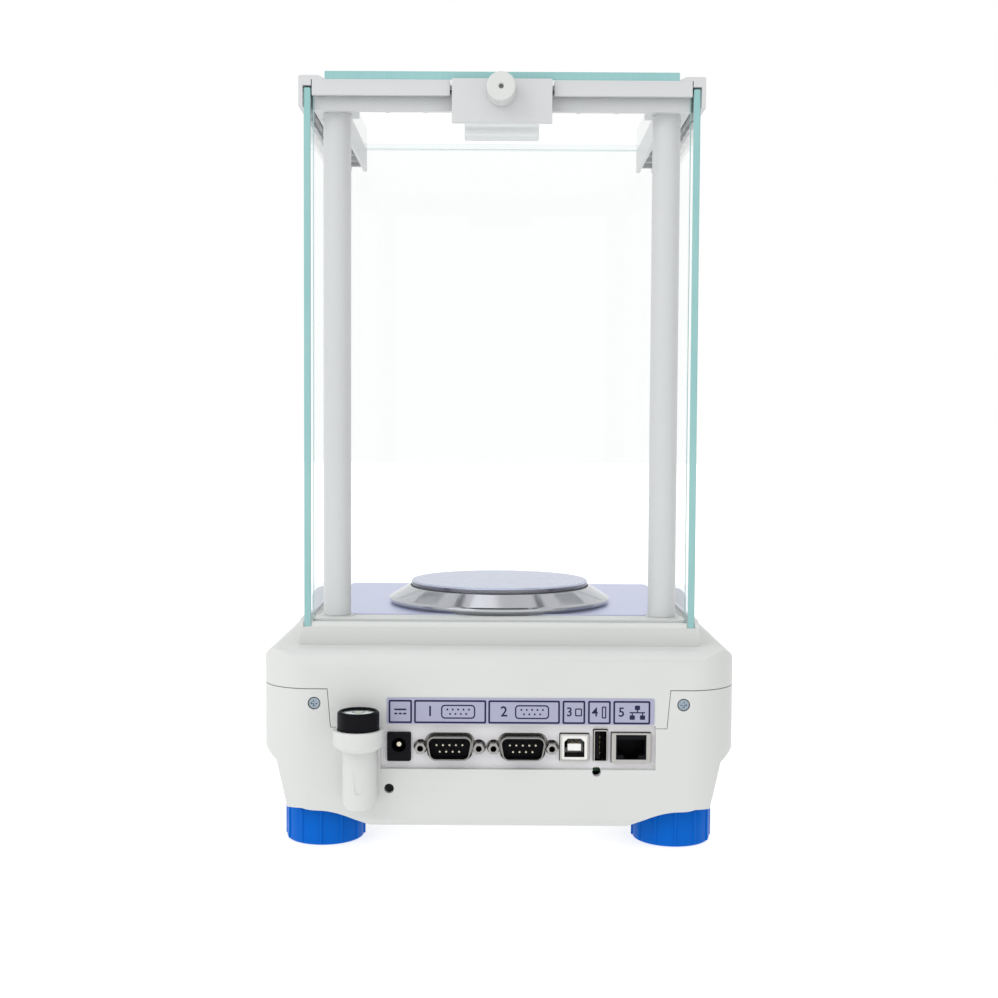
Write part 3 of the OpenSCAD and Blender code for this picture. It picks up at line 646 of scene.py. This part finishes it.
def pane(node, thin):
    low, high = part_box(node)
    cut = paneCut["chamfer"] * mm
    axes = [i for i in range(3) if i != thin]
    shape = bmesh.new()
    rings = []
    for level, inset in ((low[thin], cut), (low[thin] + cut, 0), (high[thin] - cut, 0),
                         (high[thin], cut)):
        ring = []
        for su, sv in ((0, 0), (1, 0), (1, 1), (0, 1)):
            corner = [0, 0, 0]
            corner[thin] = level
            corner[axes[0]] = high[axes[0]] - inset if su else low[axes[0]] + inset
            corner[axes[1]] = high[axes[1]] - inset if sv else low[axes[1]] + inset
            ring.append(shape.verts.new(corner))
        rings.append(ring)
    shape.faces.new(rings[0])
    shape.faces.new(rings[3])
    for a, b in zip(rings, rings[1:]):
        for i in range(4):
            j = (i + 1) % 4
            rim = shape.faces.new((a[i], a[j], b[j], b[i]))
            # an upright pane stands in a groove, and its lowest edge stays clear
            if i or thin == 2:
                rim.material_index = 1
    mesh = meshFrom(shape, node + "_pane")
    mount(node + "_pane", mesh, ["glass", "glassEdge"], nodes[node]["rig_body"], [node])


for node, thin in (("front_glass", 1), ("rear_glass", 1), ("door_glass_left", 0),
                   ("door_glass_right", 0), ("top_glass", 2)):
    pane(node, thin)
print("panes cut")


# a tree that repeats one small item along a line or round a ring
def repeatTree(name, circular):
    tree = bpy.data.node_groups.new(name, "GeometryNodeTree")
    face = tree.interface
    sizes = [("Item", "NodeSocketObject", None), ("Finish", "NodeSocketMaterial", None),
             ("Count", "NodeSocketInt", 5)]
    sizes.append(("Radius", "NodeSocketFloat", 0.01) if circular
                 else ("Step", "NodeSocketVector", (0, 0, 0)))
    sizes.append(("Start", "NodeSocketVector", (0, 0, 0)))
    for label, kind, value in sizes:
        made = face.new_socket(label, in_out="INPUT", socket_type=kind)
        if value is not None:
            made.default_value = value
    face.new_socket("Geometry", in_out="OUTPUT", socket_type="NodeSocketGeometry")
    nodesOf = tree.nodes
    given = nodesOf.new("NodeGroupInput")
    result = nodesOf.new("NodeGroupOutput")
    item = nodesOf.new("GeometryNodeObjectInfo")
    copies = nodesOf.new("GeometryNodeInstanceOnPoints")
    whole = nodesOf.new("GeometryNodeRealizeInstances")
    paint = nodesOf.new("GeometryNodeSetMaterial")
    join = tree.links.new
    join(given.outputs["Item"], item.inputs["Object"])
    join(item.outputs["Geometry"], copies.inputs["Instance"])
    if circular:
        circle = nodesOf.new("GeometryNodeMeshCircle")
        join(given.outputs["Count"], circle.inputs["Vertices"])
        join(given.outputs["Radius"], circle.inputs["Radius"])
        turn = nodesOf.new("FunctionNodeAlignEulerToVector")
        turn.axis = "X"
        where = nodesOf.new("GeometryNodeInputPosition")
        join(where.outputs[0], turn.inputs["Vector"])
        join(turn.outputs[0], copies.inputs["Rotation"])
        move = nodesOf.new("GeometryNodeTransform")
        join(given.outputs["Start"], move.inputs["Translation"])
        join(circle.outputs["Mesh"], copies.inputs["Points"])
        join(copies.outputs["Instances"], move.inputs["Geometry"])
        join(move.outputs["Geometry"], whole.inputs["Geometry"])
    else:
        line = nodesOf.new("GeometryNodeMeshLine")
        join(given.outputs["Count"], line.inputs["Count"])
        join(given.outputs["Start"], line.inputs["Start Location"])
        join(given.outputs["Step"], line.inputs["Offset"])
        join(line.outputs["Mesh"], copies.inputs["Points"])
        join(copies.outputs["Instances"], whole.inputs["Geometry"])
    join(whole.outputs["Geometry"], paint.inputs["Geometry"])
    join(given.outputs["Finish"], paint.inputs["Material"])
    join(paint.outputs["Geometry"], result.inputs["Geometry"])
    return tree


rowTree = repeatTree("row of items", False)
ringTree = repeatTree("ring of items", True)


# runs a repeat tree for each run of sizes and returns all copies as one plain mesh
def repeated(name, tree, item, runs):
    shape = bmesh.new()
    for run in runs:
        carrier = bpy.data.objects.new("carrier", bpy.data.meshes.new("carrier"))
        bpy.context.scene.collection.objects.link(carrier)
        maker = carrier.modifiers.new("repeat", "NODES")
        maker.node_group = tree
        sockets = {s.name: s.identifier for s in tree.interface.items_tree if s.in_out == "INPUT"}
        maker[sockets["Item"]] = item
        for label, value in run.items():
            maker[sockets[label]] = value
        graph = bpy.context.evaluated_depsgraph_get()
        made = bpy.data.meshes.new_from_object(carrier.evaluated_get(graph))
        shape.from_mesh(made)
        carrier.modifiers.remove(maker)
        bpy.data.objects.remove(carrier)
    mesh = bpy.data.meshes.new(name)
    shape.to_mesh(mesh)
    shape.free()
    mesh.materials.clear()
    smoothed(mesh)
    return mesh


# an item for a repeat tree, taken away again once its copies are made
def loneItem(name, shape):
    item = bpy.data.objects.new(name, meshFrom(shape, name))
    bpy.context.scene.collection.objects.link(item)
    return item


# contacts of the serial ports: pale gold pins with rounded noses, in rows of five and four
pins = {"radius": 0.5, "length": 4.6, "nose": 0.35, "pitch": 2.77, "rise": 1.42, "start": 152.5}


def pinItem():
    shape = bmesh.new()
    r, nose = pins["radius"], pins["nose"]
    profile = [(0, 0), (r, 0), (r, pins["length"] - nose)]
    for i in range(1, 4):
        a = math.radians(90 * i / 4)
        profile.append((r - nose + nose * math.cos(a), pins["length"] - nose + nose * math.sin(a)))
    profile.append((0, pins["length"]))
    addLathe(shape, profile, 16, plain @ Matrix.Rotation(-math.pi / 2, 4, "X"))
    return loneItem("pin", shape)


serialCentres = []
for node in ("serial_insert_a", "serial_insert_b"):
    low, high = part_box(node)
    serialCentres.append((low.x + high.x) / 2 / mm)
pin = pinItem()
pinRuns = []
for centre in serialCentres:
    for count, side in ((5, 1), (4, -1)):
        first = centre - pins["pitch"] * (count - 1) / 2
        row = ports["height"] + side * pins["rise"]
        pinRuns.append({"Count": count, "Finish": look["pinMetal"],
                        "Step": (pins["pitch"] * mm, 0, 0),
                        "Start": (first * mm, pins["start"] * mm, row * mm)})
mount("serial_pins_round", repeated("serial_pins_round", rowTree, pin, pinRuns), ["pinMetal"],
      "balance", ["serial_pins"])
bpy.data.objects.remove(pin)

# spring contacts of the network jack and the two data sockets: the size of one bar, how many
# stand in a row, the step along it and where each row starts, in mm
springs = {
    "network_contacts": {"bar": (0.4, 7.0, 0.35), "count": 8, "step": (1.02, 0, 0),
                         "starts": [(ports["networkX"] - 3.57, 148.2, ports["height"] + 3.3)]},
    "device_contacts": {"bar": (1.0, 6.4, 0.16), "count": 2, "step": (2.5, 0, 0),
                        "starts": [(ports["deviceX"] - 1.25, 149.4, ports["height"] - 1.53),
                                   (ports["deviceX"] - 1.25, 149.4, ports["height"] + 1.53)]},
    "host_contacts": {"bar": (0.16, 6.4, 1.0), "count": 4, "step": (0, 0, 2.3),
                      "starts": [(ports["hostX"] + 0.26, 149.4, ports["hostHeight"] - 3.45)]},
}


def springContacts(name):
    spring = springs[name]
    w, d, h = spring["bar"]
    shape = bmesh.new()
    addPlate(shape, outlineBox(0, 0, w, d, min(w, d) * 0.3, 3), -h / 2, h / 2, plain)
    bar = loneItem("spring", shape)
    runs = [{"Count": spring["count"], "Finish": look["gold"],
             "Step": tuple(part * mm for part in spring["step"]),
             "Start": tuple(part * mm for part in start)} for start in spring["starts"]]
    mount(name, repeated(name, rowTree, bar, runs), ["gold"], "balance")
    bpy.data.objects.remove(bar)


for name in springs:
    springContacts(name)
print("contacts set")

# levelling feet: a turned drum with upright grip ridges; recess, hub and stem are radius and level
knob = {"core": 17.05, "ridge": 17.7, "count": 12, "low": 0.2, "high": 16.4, "chamfer": 0.9,
        "recess": (13.5, 2.4), "hub": (7, 17.6), "stem": (4, 38), "cut": 0.3}


def ridgeItem():
    shape = bmesh.new()
    depth = knob["ridge"] - knob["core"] + 0.5
    tall = knob["high"] - knob["low"] - 2 * knob["chamfer"]
    # half sunk in the drum at its root, and blunt at its nose
    outline = [(-0.5, -0.85), (depth - 0.8, -0.55), (depth - 0.55, -0.3), (depth - 0.5, 0),
               (depth - 0.55, 0.3), (depth - 0.8, 0.55), (-0.5, 0.85)]
    addPlate(shape, outline, -tall / 2, tall / 2, plain)
    return loneItem("ridge", shape)


def footKnob(node, ridge):
    low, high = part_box(node)
    x, y = (low.x + high.x) / 2 / mm, (low.y + high.y) / 2 / mm
    core, cham, cut = knob["core"], knob["chamfer"], knob["cut"]
    bottom, top = knob["low"], knob["high"]
    recessR, recessZ = knob["recess"]
    hubR, hubZ = knob["hub"]
    stemR, stemZ = knob["stem"]
    profile = [(0, recessZ), (recessR - cut, recessZ), (recessR, recessZ - cut), (recessR, bottom),
               (core - cham, bottom)]
    for i in range(1, 5):
        a = math.radians(90 * i / 4)
        profile.append((core - cham + cham * math.sin(a), bottom + cham - cham * math.cos(a)))
    for i in range(1, 5):
        a = math.radians(90 * i / 4)
        profile.append((core - cham + cham * math.cos(a), top - cham + cham * math.sin(a)))
    profile += [(hubR + cut, top), (hubR, top + cut), (hubR, hubZ - cut), (hubR - cut, hubZ),
                (stemR, hubZ), (stemR, stemZ), (0, stemZ)]
    shape = bmesh.new()
    addLathe(shape, profile, 96, plain @ Matrix.Translation((x, y, 0)))
    bmesh.ops.recalc_face_normals(shape, faces=shape.faces)
    middle = (bottom + top) / 2
    grip = repeated("grip", ringTree, ridge, [{
        "Count": knob["count"], "Finish": look["blue_plastic"], "Radius": core * mm,
        "Start": (x * mm, y * mm, middle * mm)}])
    shape.from_mesh(grip)
    mesh = bpy.data.meshes.new(node + "_turned")
    shape.to_mesh(mesh)
    shape.free()
    smoothed(mesh, 40)
    mount(node + "_turned", mesh, ["blue_plastic"], nodes[node]["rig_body"], [node])


ridge = ridgeItem()
for end in ("rear", "front"):
    for side in ("left", "right"):
        footKnob("foot_knob_" + end + "_" + side, ridge)
bpy.data.objects.remove(ridge)
print("feet turned")

# bubble level: domed lens, printed ring and a bubble
level = {"shoulder": 0.6, "lensRise": 0.75, "domeSteps": 9, "ring": 2.6, "ringLine": 0.3, "bubble": 2.1}
vialLow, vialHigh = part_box("level_vial")
vialX, vialY = (vialLow.x + vialHigh.x) / 2 / mm, (vialLow.y + vialHigh.y) / 2 / mm
vialR = (vialHigh.x - vialLow.x) / 2 / mm
vialTop = vialHigh.z / mm


def levelVial():
    place = plain @ Matrix.Translation((vialX, vialY, 0))
    shoulder = vialTop - level["shoulder"]
    top = shoulder + level["lensRise"]
    shape = bmesh.new()
    profile = [(0, vialLow.z / mm), (vialR, vialLow.z / mm), (vialR, shoulder)]
    for i in range(1, level["domeSteps"]):
        r = vialR * (1 - i / level["domeSteps"])
        profile.append((r, shoulder + level["lensRise"] * (1 - (r / vialR) ** 2)))
    profile.append((0, top))
    addLathe(shape, profile, 48, place)
    mesh = meshFrom(shape, "level_lens")
    smoothed(mesh)
    mount("level_lens", mesh, ["lens"], "balance", ["level_vial"])
    shape = bmesh.new()
    half = level["ringLine"] / 2
    addFrame(shape, outlineDisc(0, 0, level["ring"] + half, 40),
             outlineDisc(0, 0, level["ring"] - half, 40), top - 0.25, top + 0.02, place)
    mount("level_ring", meshFrom(shape, "level_ring"), ["ink"], "balance")
    shape = bmesh.new()
    addLathe(shape, [(0, top - 0.2), (level["bubble"], top - 0.12), (level["bubble"] * 0.85, top),
                     (level["bubble"] * 0.5, top + 0.08), (0, top + 0.1)], 32, place)
    mesh = meshFrom(shape, "level_bubble")
    smoothed(mesh, 60)
    mount("level_bubble", mesh, ["liquid"], "balance")


levelVial()
print("bubble level set")

# printed boxes over the sockets, left to right as seen from behind, in mm
prints = {
    "boxes": [(-47.1, -37.1), (-36.2, -5.4), (-4.5, 26.1), (27.2, 36.9), (38.1, 47.8), (48.9, 64.7)],
    "low": 55.7, "high": 65.7, "line": 0.75, "corner": 0.7, "level": 155.8, "thick": 0.05,
}


# marks printed on one face, all of them between the same two levels
class Print:
    def __init__(self, low, thick, face):
        self.shape = bmesh.new()
        self.low = low
        self.thick = thick
        self.face = face

    def fill(self, outline, sunk=0.0):
        addPlate(self.shape, outline, self.low, self.low + self.thick - sunk, self.face)

    def box(self, x, y, w, h, r, steps=5):
        self.fill(outlineBox(x, y, w, h, r, steps))

    def loop(self, outer, inner):
        addFrame(self.shape, outer, inner, self.low, self.low + self.thick, self.face)

    def numeral(self, text, size, x, y):
        curve = bpy.data.curves.new("numeral", "FONT")
        curve.body = text
        curve.size = size
        curve.align_x = "CENTER"
        curve.align_y = "CENTER"
        curve.extrude = self.thick / 2
        curve.offset = size * 0.012  # a little bolder than the plain font
        curve.resolution_u = 3
        writer = bpy.data.objects.new("numeral", curve)
        bpy.context.scene.collection.objects.link(writer)
        graph = bpy.context.evaluated_depsgraph_get()
        mesh = bpy.data.meshes.new_from_object(writer.evaluated_get(graph))
        mesh.transform(self.face @ Matrix.Translation((x, y, self.low + self.thick / 2)))
        self.shape.from_mesh(mesh)
        bpy.data.objects.remove(writer)

    def lay(self, name, finish, body):
        mount(name, meshFrom(self.shape, name), [finish], body)


# a bar over three dashes
def powerMark(ink, x, y):
    ink.box(x, y + 0.9, 5.2, 0.7, 0.2)
    for i in (-1, 0, 1):
        ink.box(x + i * 1.9, y - 0.9, 1.3, 0.7, 0.2)


# the numeral of the port and its nine contacts
def serialMark(ink, x, y, text):
    ink.numeral(text, 6.2, x - 8.6, y)
    ink.loop(outlineBox(x + 3.4, y, 14.6, 6.0, 1.6), outlineBox(x + 3.4, y, 13.5, 4.9, 1.1))
    for count, rise in ((5, 0.95), (4, -0.95)):
        for i in range(count):
            ink.fill(outlineDisc(x + 3.4 + (i - (count - 1) / 2) * 2.3, y + rise, 0.42, 14))


# a numeral beside the outline of the socket, with a line 0.5 wide
def socketMark(ink, x, y, text, w, h):
    ink.numeral(text, 5.4, x - 1.9, y)
    ink.loop(outlineBox(x + 2.0, y, w, h, 0.5), outlineBox(x + 2.0, y, w - 1.0, h - 1.0, 0.2))


# three stations on a line
def networkMark(ink, x, y, text):
    ink.numeral(text, 5.6, x - 4.4, y)
    ink.box(x + 2.4, y, 6.6, 0.5, 0.1)
    for across, up in ((2.4, 2.1), (0.2, -2.1), (4.6, -2.1)):
        ink.box(x + across, y + up, 2.2, 1.9, 0.3)
        ink.fill(outlineBox(x + across, y + up * 0.35, 0.5, 1.2, 0.1), sunk=0.01)


def portPrint():
    ink = Print(prints["level"], prints["thick"], rearFace)
    line, corner = prints["line"], prints["corner"]
    y, tall = (prints["low"] + prints["high"]) / 2, prints["high"] - prints["low"]
    middles = []
    for left, right in prints["boxes"]:
        x, wide = (left + right) / 2, right - left
        middles.append(x)
        ink.loop(outlineBox(x, y, wide, tall, corner),
                 outlineBox(x, y, wide - 2 * line, tall - 2 * line, corner * 0.4))
    powerMark(ink, middles[0], y)
    serialMark(ink, middles[1], y, "1")
    serialMark(ink, middles[2], y, "2")
    socketMark(ink, middles[3], y, "3", 3.0, 3.4)
    socketMark(ink, middles[4], y, "4", 1.9, 5.2)
    networkMark(ink, middles[5], y, "5")
    ink.lay("port_print", "ink", "balance")


portPrint()
print("port print laid")

# the display reads zero in leaning bars, in mm on the console face
display = {"digit": (9.2, 17.0), "bar": 1.6, "lean": 0.12, "pitch": 13.4, "first": -34.0, "zeros": 5,
           "row": -20.5, "level": -1.19, "thick": 0.05, "graphBars": 24, "graphPitch": 3.6}


def addZero(cell, x, y):
    w, h = display["digit"]
    t = display["bar"]
    bars = [(0, h / 2, w - t, t), (w / 2, h / 4, t, h / 2 - t), (w / 2, -h / 4, t, h / 2 - t),
            (0, -h / 2, w - t, t), (-w / 2, -h / 4, t, h / 2 - t), (-w / 2, h / 4, t, h / 2 - t)]
    for across, up, wide, tall in bars:
        cell.fill([(px + (py - y) * display["lean"], py)
                   for px, py in outlineBox(x + across, y + up, wide, tall, t * 0.3, 3)])


def displayDigits():
    cell = Print(display["level"], display["thick"], consoleFace)
    row, pitch = display["row"], display["pitch"]
    for i in range(display["zeros"]):
        addZero(cell, display["first"] + i * pitch, row)
    # the point, the unit mark, a stable ring and a bar graph under the digits
    cell.box(display["first"] + pitch * 0.48 - 1.0, row - 8.5, 1.9, 1.9, 0.5)
    cell.numeral("g", 11, display["first"] + display["zeros"] * pitch + 1.0, row - 3.0)
    cell.loop(outlineDisc(-47, row + 7, 2.0, 28), outlineDisc(-47, row + 7, 1.3, 28))
    for i in range(display["graphBars"]):
        cell.box(-44 + i * display["graphPitch"], row - 16, 2.6, 2.0, 0.3, 2)
    cell.lay("display_digits", "digits", "balance")


# pane over the display and the dark band printed behind it: width, depth and corner of each outline
window = {"middle": -20, "pane": (116.0, 50.0, 4), "band": (115.6, 49.6, 3.8),
          "bandHole": (104.0, 40.0, 1.5), "bandLevels": (-1.19, -1.12),
          "paneLevels": ((-1.1, 0.0), (0.2, 0.0), (0.42, 0.1), (0.5, 0.35))}


def displayWindow():
    shape = bmesh.new()
    w, d, corner = window["pane"]
    rings = []
    for z, inset in window["paneLevels"]:
        outline = outlineBox(0, window["middle"], w - 2 * inset, d - 2 * inset, corner - inset, 8)
        rings.append([shape.verts.new(consoleFace @ Vector((x, y, z))) for x, y in outline])
    shape.faces.new(rings[0])
    shape.faces.new(rings[-1])
    for a, b in zip(rings, rings[1:]):
        for i in range(len(a)):
            j = (i + 1) % len(a)
            shape.faces.new((a[i], a[j], b[j], b[i]))
    mount("display_window_pane", meshFrom(shape, "display_window_pane"), ["window"], "balance",
          ["display_window"])
    band = bmesh.new()
    addFrame(band, outlineBox(0, window["middle"], *window["band"], 8),
             outlineBox(0, window["middle"], *window["bandHole"], 8), *window["bandLevels"], consoleFace)
    mount("display_band", meshFrom(band, "display_band"), ["darkBand"], "balance")


displayWindow()
displayDigits()

# marks printed on the keys
keyMarks = {"level": 1.0, "thick": 0.04, "row": -86, "powerRing": (3.1, 2.4), "powerSweep": 300,
            "powerSteps": 32}


def keyMark(node, draw):
    ink = Print(keyMarks["level"], keyMarks["thick"], consoleFace)
    low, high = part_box(node)
    draw(ink, (low.x + high.x) / 2 / mm, keyMarks["row"])
    ink.lay(node + "_mark", "ink", nodes[node]["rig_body"])


def drawPower(ink, x, y):
    sides = []
    for r in keyMarks["powerRing"]:
        turns = [math.radians(keyMarks["powerSweep"] * i / keyMarks["powerSteps"])
                 for i in range(keyMarks["powerSteps"] + 1)]
        sides.append([(x - r * math.sin(a), y - 0.2 + r * math.cos(a)) for a in turns])
    outer, inner = sides
    ink.fill(outer + inner[::-1])
    ink.box(x, y + 2.3, 0.7, 3.0, 0.2)


def drawMenu(ink, x, y):
    for i in (-1, 0, 1):
        ink.box(x, y + i * 1.9, 7.0, 0.8, 0.3)


# a nought between two arrows
def drawZero(ink, x, y):
    for side in (-1, 1):
        tip = x + side * 4.6
        ink.fill([(tip, y), (tip + side * 3.2, y + 1.7), (tip + side * 3.2, y - 1.7)][::side])
        ink.box(tip + side * 4.9, y, 3.8, 0.7, 0.2)
    ink.loop(outlineBox(x, y, 4.4, 6.2, 2.1, 8), outlineBox(x, y, 3.0, 4.8, 1.4, 8))


keyMark("key_power", drawPower)
keyMark("key_menu", drawMenu)
keyMark("key_tare_left", drawZero)
keyMark("key_tare_right", drawZero)
print("console dressed")

# studio: white room, soft key light from the side of the power inlet, pale floor
studio = {"world": 1.0, "floorSize": 16.0, "floorGlow": 0.75, "floorTone": 0.4}
lights = {
    "keyLight": {"spot": (1.3, 1.5, 1.3), "aim": (0, 0.1, 0.15), "size": (1.2, 1.2), "power": 9.0},
    "topLight": {"spot": (0.1, 0.2, 1.8), "aim": (0, 0.05, 0.1), "size": (1.4, 1.4), "power": 4.0},
}
flags = {
    "sideFlag": {"spot": (-1.0, 0.2, 0.35), "size": (1.1, 0.7), "turn": (90, 0, 90), "tone": 0.35,
                 "soft": True},
    "overheadFlag": {"spot": (0, 0.03, 0.9), "size": (0.42, 0.34), "turn": (0, 0, 0), "tone": 0.05,
                     "soft": False},
}


def areaLight(name, spot, aim, size, power):
    lamp = bpy.data.lights.new(name, "AREA")
    lamp.shape = "RECTANGLE"
    lamp.size, lamp.size_y = size
    lamp.energy = power
    holder = bpy.data.objects.new(name, lamp)
    holder.location = spot
    holder.rotation_mode = "QUATERNION"
    holder.rotation_quaternion = (Vector(aim) - Vector(spot)).to_track_quat("-Z", "Y")
    bpy.context.scene.collection.objects.link(holder)


def sheetMesh(name, w, h):
    mesh = bpy.data.meshes.new(name)
    corners = [(sx * w / 2, sy * h / 2, 0) for sx, sy in ((-1, -1), (1, -1), (1, 1), (-1, 1))]
    mesh.from_pydata(corners, [], [(0, 1, 2, 3)])
    return mesh


# a card the camera can't see; one that isn't soft shows only in reflections
def flag(name, spot, size, turn, tone, soft):
    mesh = sheetMesh(name, *size)
    cloth = Finish(name)
    weave = cloth.noise(cloth.place(), 200.0)
    mesh.materials.append(cloth.surface({
        "Base Color": cloth.tint(weave, (tone,) * 3, (tone * 1.1,) * 3),
        "Roughness": 0.9}))
    card = bpy.data.objects.new(name, mesh)
    card.location = spot
    card.rotation_euler = [math.radians(a) for a in turn]
    card.visible_camera = False
    card.visible_diffuse = soft
    card.visible_shadow = soft
    bpy.context.scene.collection.objects.link(card)


def studioFloor():
    mesh = sheetMesh("studioFloor", studio["floorSize"], studio["floorSize"])
    f = Finish("studioFloor")
    cloud = f.noise(f.place(), 1.5)
    mesh.materials.append(f.surface({
        "Base Color": f.tint(cloud, (studio["floorTone"],) * 3, (studio["floorTone"] + 0.02,) * 3),
        "Roughness": 0.8,
        "Emission Color": (1, 1, 1, 1),
        "Emission Strength": studio["floorGlow"]}))
    ground = bpy.data.objects.new("studioFloor", mesh)
    bpy.context.scene.collection.objects.link(ground)


world = bpy.data.worlds.new("studio")
world.use_nodes = True
world.node_tree.nodes["Background"].inputs["Color"].default_value = (1, 1, 1, 1)
world.node_tree.nodes["Background"].inputs["Strength"].default_value = studio["world"]
bpy.context.scene.world = world
bpy.context.scene.view_settings.view_transform = "Standard"
studioFloor()
for name, light in lights.items():
    areaLight(name, **light)
for name, card in flags.items():
    flag(name, **card)
print("studio lit")

# camera behind the balance, a little above its middle
cameraSet = {"spot": (0.43, 736.0, 179.0), "down": 2.685, "roll": 0.31, "lens": 49.4}
lensData = bpy.data.cameras.new("camera")
lensData.lens = cameraSet["lens"]
lensData.sensor_width = 36.0
camera = bpy.data.objects.new("camera", lensData)
camera.matrix_world = (Matrix.Translation(Vector(cameraSet["spot"]) * mm)
                       @ Matrix.Rotation(math.pi, 4, "Z")
                       @ Matrix.Rotation(math.radians(90 - cameraSet["down"]), 4, "X")
                       @ Matrix.Rotation(math.radians(cameraSet["roll"]), 4, "Z"))
bpy.context.scene.collection.objects.link(camera)
bpy.context.scene.camera = camera
